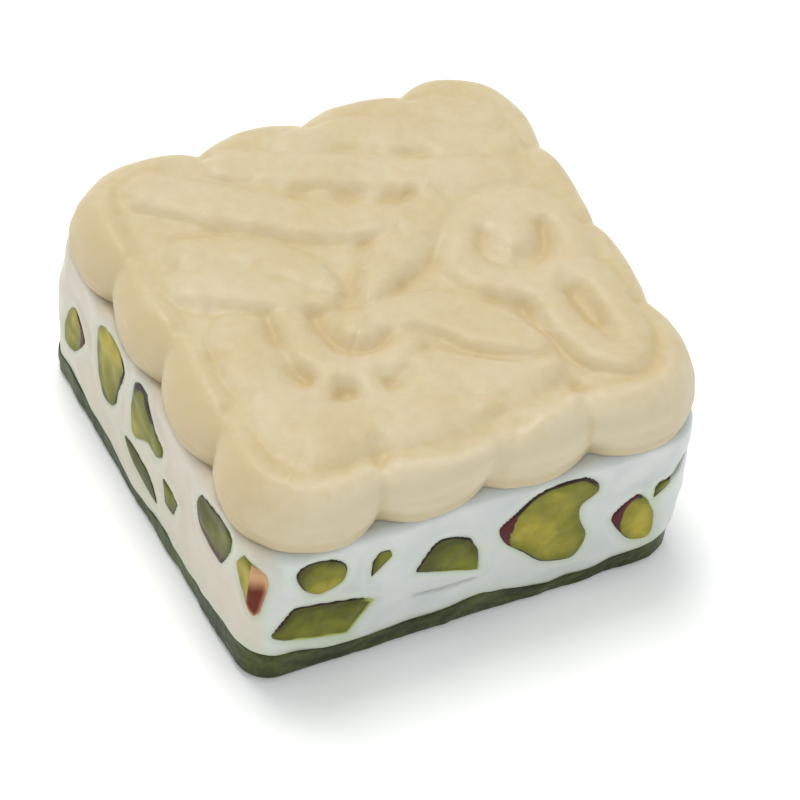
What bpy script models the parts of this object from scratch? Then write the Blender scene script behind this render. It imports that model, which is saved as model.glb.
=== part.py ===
"""Square piece of layered pistachio nougat with a moulded top.

Three layers lie on each other: a thin green base layer, a white nougat slab with
pistachio pieces showing at its cut sides, and a cream top pressed in a lobed
mould with leaves and flowers in low relief. Lengths are in millimetres until
they become vertices, +Z is up and the origin is the centre of the underside.
"""
import math

import bmesh
import bpy
import numpy as np
from mathutils import Matrix, Vector

MM = 0.001

# Layers, from the underside up
FOOT_HALF = 20.0            # half the width of the underside
SLAB_FOOT_HALF = 20.2       # half the width of the slab on the base layer
SLAB_HEAD_HALF = 20.8       # half the width of the slab under the top
CORNER_RADIUS = 3.1
HEAD_CORNER_RADIUS = 4.6    # the slab's corners get rounder towards its top
BASE_HEIGHT = 2.5           # mean height of the green layer
SLAB_TOP = 16.0
CREST_HEIGHT = 22.0         # the rim of the moulded top
LAYER_GAP = 0.3

# Lobed wall of the top: two lobes a side between three notches, and corner lobes
NOTCH_HALF = 19.4           # half the width across the notches
LOBE_PITCH = 9.7
LOBE_BULGE = 1.6
CORNER_LOBE_CENTRE = 14.1
MEAN_HALF = 20.4            # the rounded square that the lobes wave about
MEAN_CORNER = 7.0
FADE_HEIGHT = 5.5           # from the crest down to where the lobes are full
FOOT_SHARPNESS = 8.0        # of the creases between the lobes
CREST_SHARPNESS = 3.0
# For the front, right, back and left side: share of the lobes that is left at the crest, and
# how far each crease leans along its side from foot to crest
CREST_SHARES = (0.5, 0.25, 0.65, 0.45)
CREASE_LEANS = ((0.0, 1.4, -0.5), (0.0, 0.0, 0.0), (-2.2, -2.2, -2.2), (0.2, 0.2, 0.2))
RIM_ROUNDING = 3.3
LOWER_CHAMFER = 0.4

# Relief of the top
RELIEF_DEPTH = 0.8          # from the crest down to the ground at the front left
WORN_SHARE = 0.35           # share of it that is lost towards the back right
WORN_FROM, WORN_LENGTH = -6.0, 26.0
MEDALLION_X, MEDALLION_Y = 0.5, 0.3
MEDALLION_HALF = 18.0
MEDALLION_CORNER = 4.0
# Where the medallion's border goes outwards: x, y, radius, how far
SCALLOPS = (
    (-2.5, -18.4, 5.0, 1.4), (-8.9, -17.6, 1.8, -0.8), (9.9, -17.4, 2.6, -1.3),
    (-17.6, -2.6, 1.8, -0.7), (-17.6, 7.0, 4.0, 0.3),
)
RIM_SLOPE = 1.8
RELIEF_GRID = 128           # facets along a side before they are thinned out
TOP_END, RIM_END = 0.74, 0.88    # shares of them: the top, the rounded rim, then the wall
THINNED_SHARE = 0.2
SOFTENING_PASSES = 2

# Pistachio pieces
NUT_REACH = 1.5             # how far a cutting body stands out of the face
NUT_GAP = 0.3

LOBE_RADIUS = (LOBE_PITCH ** 2 / 4 + LOBE_BULGE ** 2) / (2 * LOBE_BULGE)
LOBE_CENTRE = NOTCH_HALF - LOBE_RADIUS + LOBE_BULGE
CORNER_LOBE_RADIUS = math.hypot(LOBE_PITCH - CORNER_LOBE_CENTRE, NOTCH_HALF - CORNER_LOBE_CENTRE)

# Swells of the boundary between green and white: x, y, radius, rise
SWELLS = (
    (-19.5, -18.0, 6.0, 1.3), (1.0, -20.0, 2.5, 0.8), (9.0, -20.0, 4.0, -0.9),
    (19.5, -19.5, 2.5, 1.0), (-20.0, 3.0, 4.0, -0.6), (-20.0, 16.0, 4.0, 0.4),
    (20.0, 5.0, 4.0, 0.7), (20.0, -7.0, 4.0, -0.6), (6.0, 20.0, 4.0, 0.6),
    (-8.0, 20.0, 5.0, -0.6), (19.0, 19.0, 4.0, 0.5),
)

# Pillows, the strokes that stand up from the ground: points, half widths along them, share of
# the relief's depth
LEAF_PILLOWS = (
    (((-13.8, 8.4), (-10.6, 7.3), (-7.8, 5.8), (-5.6, 3.2), (-4.4, 0.4)),
     (1.6, 2.0, 2.4, 1.9, 0.7), 1.0),
    (((-15.8, 5.2), (-13.6, 3.8), (-11.2, 2.3), (-8.6, 0.8), (-5.4, -0.7)),
     (1.5, 2.1, 2.2, 1.8, 0.8), 1.0),
    (((-13.8, 16.0), (-9.4, 12.6), (-5.2, 9.4), (-2.0, 7.5), (1.6, 6.2), (4.8, 5.8), (7.4, 6.5)),
     (2.1, 2.1, 2.1, 1.9, 1.9, 1.5, 1.2), 1.0),
    (((-7.0, 16.6), (-3.2, 14.9), (-0.4, 13.6), (3.6, 11.9), (7.2, 10.0), (11.0, 8.6), (14.6, 7.6)),
     (1.6, 1.8, 1.8, 1.8, 1.8, 1.8, 1.6), 0.95),
    (((-0.6, 17.2), (4.6, 16.2), (9.5, 14.2), (13.4, 12.2), (16.2, 10.4)),
     (1.6, 1.9, 2.0, 2.0, 1.6), 0.9),
    (((9.0, 17.4), (13.4, 15.8), (16.4, 13.8)), (1.4, 1.6, 1.4), 0.85),
    (((-2.0, -1.6), (0.2, 0.6), (2.8, 2.4), (5.4, 4.0), (7.6, 5.4)), (1.0, 1.7, 2.2, 2.2, 1.4), 1.0),
    (((-2.4, -3.8), (1.6, -5.0), (5.0, -7.7), (7.6, -11.4)), (1.5, 2.5, 3.0, 2.1), 1.05),
    (((-3.2, -9.4), (0.2, -11.6), (3.8, -13.4), (8.0, -13.6)), (1.6, 2.6, 2.5, 1.6), 1.0),
)
FLOWER_PILLOWS = (
    (((-4.6, -4.2), (-4.3, -4.6)), (1.9, 1.9), 1.0),
    (((-9.2, -1.0), (-9.5, -4.4), (-8.9, -6.8), (-6.6, -8.3), (-3.6, -8.4), (-1.4, -7.2)),
     (1.6, 1.7, 1.6, 1.6, 1.6, 1.4), 0.95),
    (((-13.4, -1.6), (-14.3, -4.8)), (2.5, 2.8), 1.0),
    (((-13.8, -8.2), (-13.5, -11.2), (-12.4, -13.4)), (2.7, 3.3, 3.1), 1.0),
    (((-12.4, -13.0), (-9.0, -13.5), (-5.0, -13.9), (-1.4, -14.2)), (2.8, 2.9, 3.0, 2.9), 1.0),
    (((0.6, -15.0), (2.4, -14.8)), (1.8, 1.6), 0.9),
)
BLOOM_PILLOWS = (
    (((6.9, -1.2), (7.3, 1.0), (9.6, 3.2), (12.8, 4.0), (15.6, 2.7), (16.8, -0.3), (16.1, -3.2),
      (13.9, -4.9), (11.2, -5.0), (8.5, -3.7), (6.9, -1.2)), (1.6, 1.6), 1.0),
    (((11.9, -0.3), (12.8, 1.2), (13.4, 2.8)), (1.5, 1.5, 1.4), 0.9),
    (((11.7, -5.2), (11.6, -8.0), (12.0, -10.8), (12.8, -13.4), (14.6, -15.4)),
     (1.6, 1.7, 1.6, 1.6, 1.4), 1.0),
    (((15.2, -4.4), (16.8, -6.4), (16.9, -9.6), (16.6, -12.8), (15.2, -15.2)),
     (1.4, 1.5, 1.5, 1.5, 1.4), 0.95),
)
PILLOW_FOOT = 1.22          # where a pillow meets the ground, in half widths
PILLOW_BLEND = 7            # how tightly crossing pillows melt together
PILLOW_ROUNDNESS = 2.6      # 2 is a parabola across, more is flatter on top

# Pressed grooves and pits: points, half widths, depth
GROOVES = (
    (((-12.6, 7.2), (-10.2, 4.9), (-8.3, 3.4), (-6.4, 1.6)), (0.9, 1.0, 0.7, 0.5), 0.3),
    (((-7.2, -1.2), (-7.1, -3.6), (-6.1, -5.6), (-4.4, -6.5), (-2.8, -6.4)), (0.7, 0.9, 0.8, 1.0, 0.7), 0.4),
    (((-0.2, -6.0), (1.6, -7.9), (2.9, -9.6), (4.4, -10.9), (6.6, -12.2), (8.6, -12.8)), (0.6, 0.6), 0.45),
    (((7.4, -5.4), (8.8, -6.0), (9.6, -7.2)), (0.9, 1.1, 0.9), 0.4),
    (((9.6, -7.2), (9.8, -10.0), (10.3, -13.4), (11.4, -15.2)), (0.8, 0.7), 0.3),
    (((10.2, 2.0), (10.2, 0.6), (10.8, -0.8)), (0.7, 0.9, 0.7), 0.3),
    (((11.8, -1.9), (13.2, -1.8), (14.6, -0.8), (15.2, 0.6)), (0.7, 0.9, 0.9, 0.7), 0.45),
)
PITS = (
    (((-10.9, -1.3), (-11.3, -2.9)), (0.8, 0.9), 0.5),
    (((-11.4, -7.2), (-10.9, -7.6)), (1.1, 1.1), 0.55),
    (((-8.6, -10.1), (-8.2, -10.2)), (1.1, 1.0), 0.55),
    (((-4.4, -10.4), (-2.6, -9.9)), (1.1, 0.7), 0.5),
    (((13.9, -5.8), (14.1, -8.0), (14.4, -10.6)), (0.8, 0.9, 0.6), 0.45),
    (((-2.8, 11.6), (-1.4, 11.0), (-0.4, 10.7)), (0.6, 0.7, 0.6), 0.35),
    (((0.2, 10.1), (1.4, 9.7), (2.8, 9.4)), (0.7, 0.9, 0.6), 0.5),
    (((3.6, 8.3), (5.1, 7.9), (7.2, 7.8)), (0.6, 0.9, 0.6), 0.5),
    (((8.0, 12.2), (10.0, 11.4)), (0.6, 0.6), 0.25),
)
# Swell of the rim over the third front lobe
SWELL = (((4.2, -18.6), (6.6, -18.0), (8.2, -17.8)), (1.9, 2.1, 1.7), 0.4)

# Cut faces of pistachio pieces, about their middles: along the face, up
NUT_FORMS = {
    "oval": ((-2.4, 1.0), (-1.7, 2.2), (0.4, 2.1), (1.9, 1.0), (2.3, -0.3), (1.9, -1.6),
             (0.0, -2.2), (-1.5, -1.1)),
    "slab": ((-4.6, -1.2), (-4.0, 0.9), (-3.1, 2.5), (-1.7, 2.4), (2.9, 1.2), (4.6, 0.2),
             (3.6, -1.6), (2.4, -3.6), (-1.4, -2.6)),
    "wedge": ((-0.7, -1.9), (-0.8, 0.3), (-0.3, 1.4), (0.7, 1.2), (0.9, 0.2), (0.1, -0.9)),
    "half": ((-3.3, -0.6), (-2.2, 2.2), (-1.5, 2.8), (-0.2, 2.7), (1.4, 1.8), (2.4, -0.2),
             (2.8, -3.0), (-0.2, -2.0)),
    "mitten": ((-4.7, 1.2), (-3.5, 2.7), (-2.1, 4.2), (-0.5, 4.9), (1.3, 5.0), (2.8, 4.7),
               (4.1, 3.4), (4.3, 2.0), (3.0, 0.9), (3.2, -0.9), (4.1, -3.1), (3.9, -4.8),
               (2.9, -6.0), (0.0, -5.1), (-1.9, -3.1), (-3.9, -1.0)),
    "drop": ((-2.5, 0.9), (-1.6, 2.4), (-0.3, 3.2), (0.9, 2.1), (1.8, -0.4), (1.9, -2.7),
             (1.2, -3.3), (-0.3, -2.8), (-1.5, -1.2)),
    "leaf": ((-3.3, 0.0), (-2.5, 1.5), (0.7, 2.4), (2.2, 2.5), (3.1, 2.0), (3.0, 0.4),
             (1.4, -2.8), (-2.0, -2.7), (-3.0, -1.9)),
    "moon": ((-2.4, 2.4), (-1.2, 3.9), (0.4, 4.2), (1.9, 3.8), (2.8, 2.3), (1.9, -1.0),
             (1.4, -3.1), (0.1, -4.4), (-1.4, -4.2), (-2.4, -1.0)),
    "boot": ((-2.8, 1.9), (-1.7, 3.0), (-0.3, 3.0), (0.1, 2.0), (1.4, 0.3), (2.8, -0.3),
             (2.7, -1.6), (1.6, -2.7), (0.1, -2.6), (-2.2, -4.4), (-3.1, -4.0), (-3.3, -1.0)),
    "sliver": ((-3.3, 0.6), (-2.0, 1.1), (1.5, 0.9), (3.2, -0.9), (1.7, -1.2), (-1.5, -0.7)),
    "chip": ((-1.4, 1.0), (0.3, 1.1), (1.4, 0.7), (0.7, -1.4), (-0.9, -1.3)),
    "facets": ((-1.8, 0.9), (-0.8, 3.0), (-0.1, 2.2), (1.4, 1.8), (1.8, 0.5), (1.4, -2.7),
               (0.7, -3.5), (-0.1, -2.4), (-1.1, -1.0)),
}

# Turn of each cut face about Z, so that its own X runs along the face
FACE_TURNS = {"front": 0, "right": 90, "back": 180, "left": -90, "front_corner": -45}

# Pieces: face, along it, up, form, scale along, scale up, depth
NUTS = (
    ("front", -14.8, 12.7, "oval", 1, 1, 3.6),
    ("front", -13.9, 7.1, "slab", 1, 0.95, 3.2),
    ("front", -9.4, 12.2, "wedge", 1, 1, 2.0),
    ("front", -2.6, 9.8, "half", 1, 1, 3.8),
    ("front", 6.2, 10.2, "mitten", 1, 1, 5.0),
    ("front", 15.0, 7.0, "drop", 1, 1, 3.2),
    ("front", 17.65, 9.7, "wedge", 0.85, 0.7, 1.4),
    ("front_corner", -1.2, 12.0, "facets", 1, 1, 2.4),
    ("left", 12.7, 12.6, "leaf", 1, 1, 2.0),
    ("left", -7.6, 11.0, "moon", 1, 1, 4.0),
    ("left", 0.0, 12.2, "boot", 1, 1, 3.4),
    ("left", -1.0, 5.2, "sliver", 1, 1, 2.4),
    ("left", 4.5, 7.4, "chip", 1, 1, 2.0),
    ("left", -14.8, 8.4, "drop", -0.9, 0.9, 3.0),
    ("right", -14.6, 11.4, "half", -0.9, 0.9, 3.0),
    ("right", -8.6, 6.6, "sliver", -1, 1, 2.4),
    ("right", -6.6, 12.4, "oval", 1, -0.9, 3.2),
    ("right", 1.6, 8.4, "leaf", 1.2, 1.2, 4.2),
    ("right", 8.0, 13.0, "chip", 1.2, 1, 2.2),
    ("right", 9.4, 6.6, "wedge", 1.2, 1, 2.4),
    ("right", 14.6, 9.6, "drop", -1, 1, 3.4),
    ("back", -14.4, 8.0, "slab", -0.8, 0.9, 3.0),
    ("back", -7.4, 11.8, "drop", 1, 0.9, 3.6),
    ("back", -1.0, 6.4, "chip", -1.2, 1, 2.4),
    ("back", 2.6, 10.6, "moon", -0.9, 0.9, 4.4),
    ("back", 9.4, 12.6, "oval", -0.8, 0.8, 2.8),
    ("back", 9.6, 6.2, "sliver", 1, 1, 2.4),
    ("back", 15.2, 10.4, "wedge", 1.5, 1.4, 2.4),
)
# Narrowing of a piece towards its inner end: share of the depth, share of the width
NUT_TAPER = ((0.45, 1.0), (0.85, 0.75), (1.0, 0.4))


def material(name, colour, roughness):
    finish = bpy.data.materials.new(name)
    finish.use_nodes = True
    shader = finish.node_tree.nodes["Principled BSDF"]
    shader.inputs["Base Color"].default_value = (*colour, 1.0)
    shader.inputs["Roughness"].default_value = roughness
    shader.inputs["Metallic"].default_value = 0.0
    return finish


def solid(name, vertices, faces, finish):
    """Makes one closed mesh object from vertices in millimetres."""
    mesh = bpy.data.meshes.new(name)
    mesh.from_pydata([[c * MM for c in v] for v in vertices], [], faces)
    shape = bmesh.new()
    shape.from_mesh(mesh)
    bmesh.ops.recalc_face_normals(shape, faces=shape.faces)
    shape.to_mesh(mesh)
    shape.free()
    mesh.materials.append(finish)
    piece = bpy.data.objects.new(name, mesh)
    bpy.context.scene.collection.objects.link(piece)
    return piece


def rings_to_faces(rings, count):
    """Joins rings of count vertices each, in order, and closes both ends."""
    faces = [tuple(range(count - 1, -1, -1))]
    for ring in range(rings - 1):
        low = ring * count
        for k in range(count):
            nxt = (k + 1) % count
            faces.append((low + k, low + nxt, low + count + nxt, low + count + k))
    faces.append(tuple(range((rings - 1) * count, rings * count)))
    return faces


def mark_as_cutter(piece):
    piece.hide_render = True
    piece.display_type = "WIRE"


# Slab and base layer

def rounded_square(half, radius, side_steps=10, corner_steps=5):
    """Points round a square with round corners, anticlockwise."""
    points = []
    for quarter in range(4):
        turn = Matrix.Rotation(math.radians(90 * quarter), 2)
        for k in range(side_steps):
            along = (half - radius) * (2 * k / side_steps - 1)
            points.append(turn @ Vector((along, -half)))
        for k in range(corner_steps):
            angle = math.radians(90 * k / corner_steps - 90)
            x = half - radius + radius * math.cos(angle)
            y = radius - half + radius * math.sin(angle)
            points.append(turn @ Vector((x, y)))
    return [(p[0], p[1]) for p in points]


def boundary_height(x, y):
    """Height of the wavy boundary between the green layer and the white slab."""
    height = BASE_HEIGHT
    for centre_x, centre_y, radius, rise in SWELLS:
        distance = math.hypot(x - centre_x, y - centre_y) / radius
        height += rise * math.exp(-distance ** 2)
    return height


def boundary_rings(half, offset):
    """Rings of the wavy boundary, from its rim to its flat middle."""
    rings = []
    for share in (1.0, 0.88, 0.7, 0.45):
        ring = [(x * share, y * share) for x, y in rounded_square(half, CORNER_RADIUS)]
        rings.append([(x, y, boundary_height(x, y) + offset) for x, y in ring])
    return rings


def level_ring(half, height, radius=CORNER_RADIUS):
    return [(x, y, height) for x, y in rounded_square(half, radius)]


def slab_corner(height):
    share = max(2 * height / SLAB_TOP - 1, 0)
    return CORNER_RADIUS + (HEAD_CORNER_RADIUS - CORNER_RADIUS) * share


def build_base_layer(finish):
    rings = [level_ring(FOOT_HALF - 0.3, 0.0), level_ring(FOOT_HALF, 0.3)]
    rings += boundary_rings(SLAB_FOOT_HALF, -LAYER_GAP / 2)
    vertices = [v for ring in rings for v in ring]
    return solid("base_layer", vertices, rings_to_faces(len(rings), len(rings[0])), finish)


def slab_half(height):
    share = (height - BASE_HEIGHT) / (SLAB_TOP - BASE_HEIGHT)
    return SLAB_FOOT_HALF + (SLAB_HEAD_HALF - SLAB_FOOT_HALF) * share


def build_slab(name, finish):
    top = SLAB_TOP - LAYER_GAP / 2
    rings = list(reversed(boundary_rings(SLAB_FOOT_HALF, LAYER_GAP / 2)))
    for height, inset in ((6.5, 0.0), (11.0, 0.0), (top - 0.9, 0.0), (top - 0.3, 0.25), (top, 0.9)):
        rings.append(level_ring(slab_half(height) - inset, height, slab_corner(height)))
    vertices = [v for ring in rings for v in ring]
    return solid(name, vertices, rings_to_faces(len(rings), len(rings[0])), finish)


# Pistachio pieces

def grown(outline, gap):
    """Moves a closed outline out by gap along the normals of its corners."""
    count = len(outline)
    signed_area = sum(
        outline[k][0] * outline[(k + 1) % count][1] - outline[(k + 1) % count][0] * outline[k][1]
        for k in range(count))
    side = 1 if signed_area > 0 else -1
    moved = []
    for k, (u, z) in enumerate(outline):
        before = outline[k - 1]
        after = outline[(k + 1) % count]
        du, dz = after[0] - before[0], after[1] - before[1]
        length = math.hypot(du, dz)
        moved.append((u + side * gap * dz / length, z - side * gap * du / length))
    return moved


def nut_rings(nut, gap):
    """Rings of one piece's body, from outside the face to its inner end."""
    face, along, up, form, scale_along, scale_up, depth = nut
    outline = [(u * scale_along, z * scale_up) for u, z in NUT_FORMS[form]]
    outline = grown(outline, gap) if gap else outline
    turn = Matrix.Rotation(math.radians(FACE_TURNS[face]), 3, "Z")
    if face == "front_corner":
        face_distance = SLAB_HEAD_HALF * math.sqrt(2) - CORNER_RADIUS * (math.sqrt(2) - 1)
    else:
        face_distance = slab_half(up)
    levels = [(-NUT_REACH, 1.0)] + [(share * (depth + gap), width) for share, width in NUT_TAPER]
    rings = []
    for inward, width in levels:
        ring = []
        for u, z in outline:
            point = turn @ Vector((along + u * width, inward - face_distance, 0.0))
            ring.append((point[0], point[1], up + z * width))
        rings.append(ring)
    return rings


def build_nuts(slab_form, finishes):
    for index, nut in enumerate(NUTS):
        rings = nut_rings(nut, 0.0)
        vertices = [v for ring in rings for v in ring]
        faces = rings_to_faces(len(rings), len(rings[0]))
        name = f"pistachio_{nut[0]}_{index + 1:02d}"
        piece = solid(name, vertices, faces, finishes[index % len(finishes)])
        trim = piece.modifiers.new("flush with the cut face", "BOOLEAN")
        trim.operation = "INTERSECT"
        trim.object = slab_form


def build_pockets(finish):
    """One cutter with every pocket that a pistachio piece sits in."""
    vertices, faces = [], []
    for nut in NUTS:
        rings = nut_rings(nut, NUT_GAP)
        first = len(vertices)
        vertices += [v for ring in rings for v in ring]
        for face in rings_to_faces(len(rings), len(rings[0])):
            faces.append(tuple(first + k for k in face))
    pockets = solid("pockets", vertices, faces, finish)
    mark_as_cutter(pockets)
    return pockets


# Moulded top

def smooth_step(share):
    share = np.clip(share, 0, 1)
    return share * share * (3 - 2 * share)


def mean_side(along):
    """Points and outward directions of the rounded square's front side, along it from -1 to 1."""
    straight = MEAN_HALF - MEAN_CORNER
    travelled = along * (straight + MEAN_CORNER * math.pi / 4)
    angle = np.sign(along) * np.clip(np.abs(travelled) - straight, 0, None) / MEAN_CORNER
    x = np.clip(travelled, -straight, straight) + MEAN_CORNER * np.sin(angle)
    y = -straight - MEAN_CORNER * np.cos(angle)
    return x, y, np.sin(angle), -np.cos(angle)


def lobe_reach(along, sharpness):
    """How far the lobes stand out past the rounded square, with soft creases between them."""
    x, y, out_x, out_y = mean_side(along)
    side_lobe = (LOBE_PITCH / 2, LOBE_CENTRE, LOBE_RADIUS)
    corner_lobe = (CORNER_LOBE_CENTRE, CORNER_LOBE_CENTRE, CORNER_LOBE_RADIUS)
    reaches = []
    for side in (-1, 1):
        for centre_x, centre_y, radius in (side_lobe, corner_lobe):
            aside = side * centre_x - x
            behind = -centre_y - y
            outward = aside * out_x + behind * out_y
            room = radius ** 2 - aside ** 2 - behind ** 2 + outward ** 2
            reaches.append(np.where(room > 0, outward + np.sqrt(np.maximum(room, 0)), -MEAN_CORNER))
    highest = np.max(reaches, axis=0)
    total = sum(np.exp(sharpness * (reach - highest)) for reach in reaches)
    return highest + np.log(total) / sharpness


def by_side(place, values):
    """Goes smoothly from one side's value to the next, for places from 0 to 8."""
    side = (place - 1) / 2
    before = np.floor(side)
    near = np.take(values, before.astype(int), mode="wrap")
    after = np.take(values, before.astype(int) + 1, mode="wrap")
    return near + (after - near) * smooth_step((side - before - 0.25) * 2)


def lobed_wall(place, height):
    """Points and outward directions of the wall, for places from 0 to 8, two for each side."""
    fallen = smooth_step((CREST_HEIGHT - height) / FADE_HEIGHT)
    side_length = 2 * (MEAN_HALF - MEAN_CORNER) + MEAN_CORNER * math.pi / 2
    crease_places = [
        2 * side + 1 + 2 * step * LOBE_PITCH / side_length for side in range(4) for step in (-1, 0, 1)]
    lean = np.interp(place, crease_places, np.ravel(CREASE_LEANS), period=8)
    leant = (place - 2 * lean / side_length * (1 - fallen)) % 2 - 1
    reach = lobe_reach(leant, CREST_SHARPNESS + (FOOT_SHARPNESS - CREST_SHARPNESS) * fallen)
    crest_share = by_side(place, CREST_SHARES)
    reach = reach * (crest_share + (1 - crest_share) * fallen)
    x, y, out_x, out_y = mean_side(place % 2 - 1)
    x, y = x + out_x * reach, y + out_y * reach
    turn = np.floor(place / 2) * math.pi / 2
    cos, sin = np.cos(turn), np.sin(turn)
    return (x * cos - y * sin, x * sin + y * cos,
            out_x * cos - out_y * sin, out_x * sin + out_y * cos)


def place_around(u, v):
    """Place from 0 to 8 of a point on the border of a square from -1 to 1."""
    nearly = 0.99999
    return np.select([v < -nearly, u > nearly, v > nearly], [1 + u, 3 + v, 5 - u], 7 - v)


def smooth_path(points, steps=6):
    """Catmull-Rom curve through the points."""
    points = np.array(points)
    if len(points) == 2:
        return points
    padded = np.vstack([2 * points[0] - points[1], points, 2 * points[-1] - points[-2]])
    path = []
    for k in range(len(points) - 1):
        p0, p1, p2, p3 = padded[k:k + 4]
        for t in np.arange(steps) / steps:
            bend = (2 * p0 - 5 * p1 + 4 * p2 - p3) * t ** 2 + (3 * p1 - p0 - 3 * p2 + p3) * t ** 3
            path.append(p1 + ((p2 - p0) * t + bend) / 2)
    return np.array(path + [points[-1]])


def distance_in_widths(x, y, points, widths):
    """Distance to a stroke, as a share of its half width there."""
    path = smooth_path(points)
    along = np.linspace(0, 1, len(path))
    half_widths = np.interp(along, np.linspace(0, 1, len(widths)), widths)
    nearest = np.full(x.shape, np.inf)
    for k in range(len(path) - 1):
        start, run = path[k], path[k + 1] - path[k]
        share = ((x - start[0]) * run[0] + (y - start[1]) * run[1]) / (run @ run)
        share = np.clip(share, 0, 1)
        width = half_widths[k] + (half_widths[k + 1] - half_widths[k]) * share
        distance = np.hypot(x - start[0] - share * run[0], y - start[1] - share * run[1])
        nearest = np.minimum(nearest, distance / width)
    return nearest


def top_height(x, y):
    """Height of the moulded top over each point, against the crest of its rim."""
    beyond_x = np.maximum(np.abs(x - MEDALLION_X) - MEDALLION_HALF + MEDALLION_CORNER, 0)
    beyond_y = np.maximum(np.abs(y - MEDALLION_Y) - MEDALLION_HALF + MEDALLION_CORNER, 0)
    reach = np.hypot(beyond_x, beyond_y) - MEDALLION_CORNER + RIM_SLOPE / 3
    for centre_x, centre_y, radius, outward in SCALLOPS:
        reach -= outward * np.exp(-((x - centre_x) ** 2 + (y - centre_y) ** 2) / radius ** 2)
    raised = smooth_step(reach / RIM_SLOPE) ** PILLOW_BLEND
    inside = smooth_step(1 - reach / RIM_SLOPE)
    for points, widths, share in LEAF_PILLOWS + FLOWER_PILLOWS + BLOOM_PILLOWS:
        distance = np.clip(distance_in_widths(x, y, points, widths) / PILLOW_FOOT, 0, 1)
        raised += (share * inside * (1 - distance ** PILLOW_ROUNDNESS)) ** PILLOW_BLEND
    worn = WORN_SHARE * smooth_step((x + y - WORN_FROM) / WORN_LENGTH)
    height = RELIEF_DEPTH * (1 - worn) * (raised ** (1 / PILLOW_BLEND) - 1)
    for points, widths, depth in GROOVES + PITS:
        height -= depth * np.exp(-distance_in_widths(x, y, points, widths) ** 2)
    points, widths, rise = SWELL
    return height + rise * np.exp(-distance_in_widths(x, y, points, widths) ** 2)


def build_moulded_top(finish):
    """The top, its rounded rim and its wall as one square sheet folded down, with a flat underside."""
    steps = np.linspace(-1, 1, RELIEF_GRID + 1)
    u, v = np.meshgrid(steps, steps)
    size = np.maximum(np.abs(u), np.abs(v))
    size[RELIEF_GRID // 2, RELIEF_GRID // 2] = 1 / RELIEF_GRID
    place = place_around(u / size, v / size)
    size[RELIEF_GRID // 2, RELIEF_GRID // 2] = 0
    turn = np.clip((size - TOP_END) / (RIM_END - TOP_END), 0, 1) * math.pi / 2
    down = np.clip((size - RIM_END) / (1 - RIM_END), 0, 1)
    wall_height = CREST_HEIGHT - RIM_ROUNDING - SLAB_TOP - LAYER_GAP / 2
    drop = RIM_ROUNDING * (1 - np.cos(turn)) + wall_height * down
    over_chamfer = RIM_ROUNDING + wall_height - LOWER_CHAMFER
    inset = RIM_ROUNDING * (1 - np.sin(turn)) + np.maximum(drop - over_chamfer, 0)
    x, y, out_x, out_y = lobed_wall(place, CREST_HEIGHT - drop)
    inward = np.clip(size / TOP_END, 0, 1)
    x, y = (x - out_x * inset) * inward, (y - out_y * inset) * inward
    raised = top_height(x, y)
    for _ in range(SOFTENING_PASSES):
        around = raised[:-2, 1:-1] + raised[2:, 1:-1] + raised[1:-1, :-2] + raised[1:-1, 2:]
        raised[1:-1, 1:-1] = (4 * raised[1:-1, 1:-1] + around) / 8
    z = CREST_HEIGHT - drop + raised * (1 - smooth_step(turn / math.pi * 2))

    count = RELIEF_GRID + 1
    vertices = [tuple(point) for point in np.stack([x, y, z], axis=-1).reshape(-1, 3)]
    faces = []
    for row in range(RELIEF_GRID):
        for column in range(RELIEF_GRID):
            low = row * count + column
            faces.append((low, low + 1, low + count + 1, low + count))
    last = RELIEF_GRID
    border = [(0, k) for k in range(last)] + [(k, last) for k in range(last)]
    border += [(last, last - k) for k in range(last)] + [(last - k, 0) for k in range(last)]
    faces.append(tuple(row * count + column for row, column in border))
    top = solid("moulded_top", vertices, faces, finish)
    thin_out = top.modifiers.new("fewer facets", "DECIMATE")
    thin_out.decimate_type = "COLLAPSE"
    thin_out.ratio = THINNED_SHARE
    thin_out.use_collapse_triangulate = True


def main():
    for old in list(bpy.data.objects):
        bpy.data.objects.remove(old, do_unlink=True)

    green = material("green_layer", (0.045, 0.085, 0.03), 0.5)
    white = material("white_nougat", (0.72, 0.71, 0.68), 0.45)
    cream = material("cream_top", (0.70, 0.60, 0.38), 0.5)
    kernel = material("pistachio_kernel", (0.25, 0.29, 0.06), 0.45)
    pale_kernel = material("pistachio_cut", (0.38, 0.38, 0.10), 0.45)

    build_base_layer(green)
    slab_form = build_slab("slab_form", white)
    mark_as_cutter(slab_form)
    nougat = build_slab("nougat", white)
    pocketing = nougat.modifiers.new("pistachio pockets", "BOOLEAN")
    pocketing.operation = "DIFFERENCE"
    pocketing.object = build_pockets(white)
    build_nuts(slab_form, (kernel, pale_kernel))
    build_moulded_top(cream)


main()
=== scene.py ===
import math

import bpy
import numpy as np
from mathutils import Matrix, Vector, noise


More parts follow.
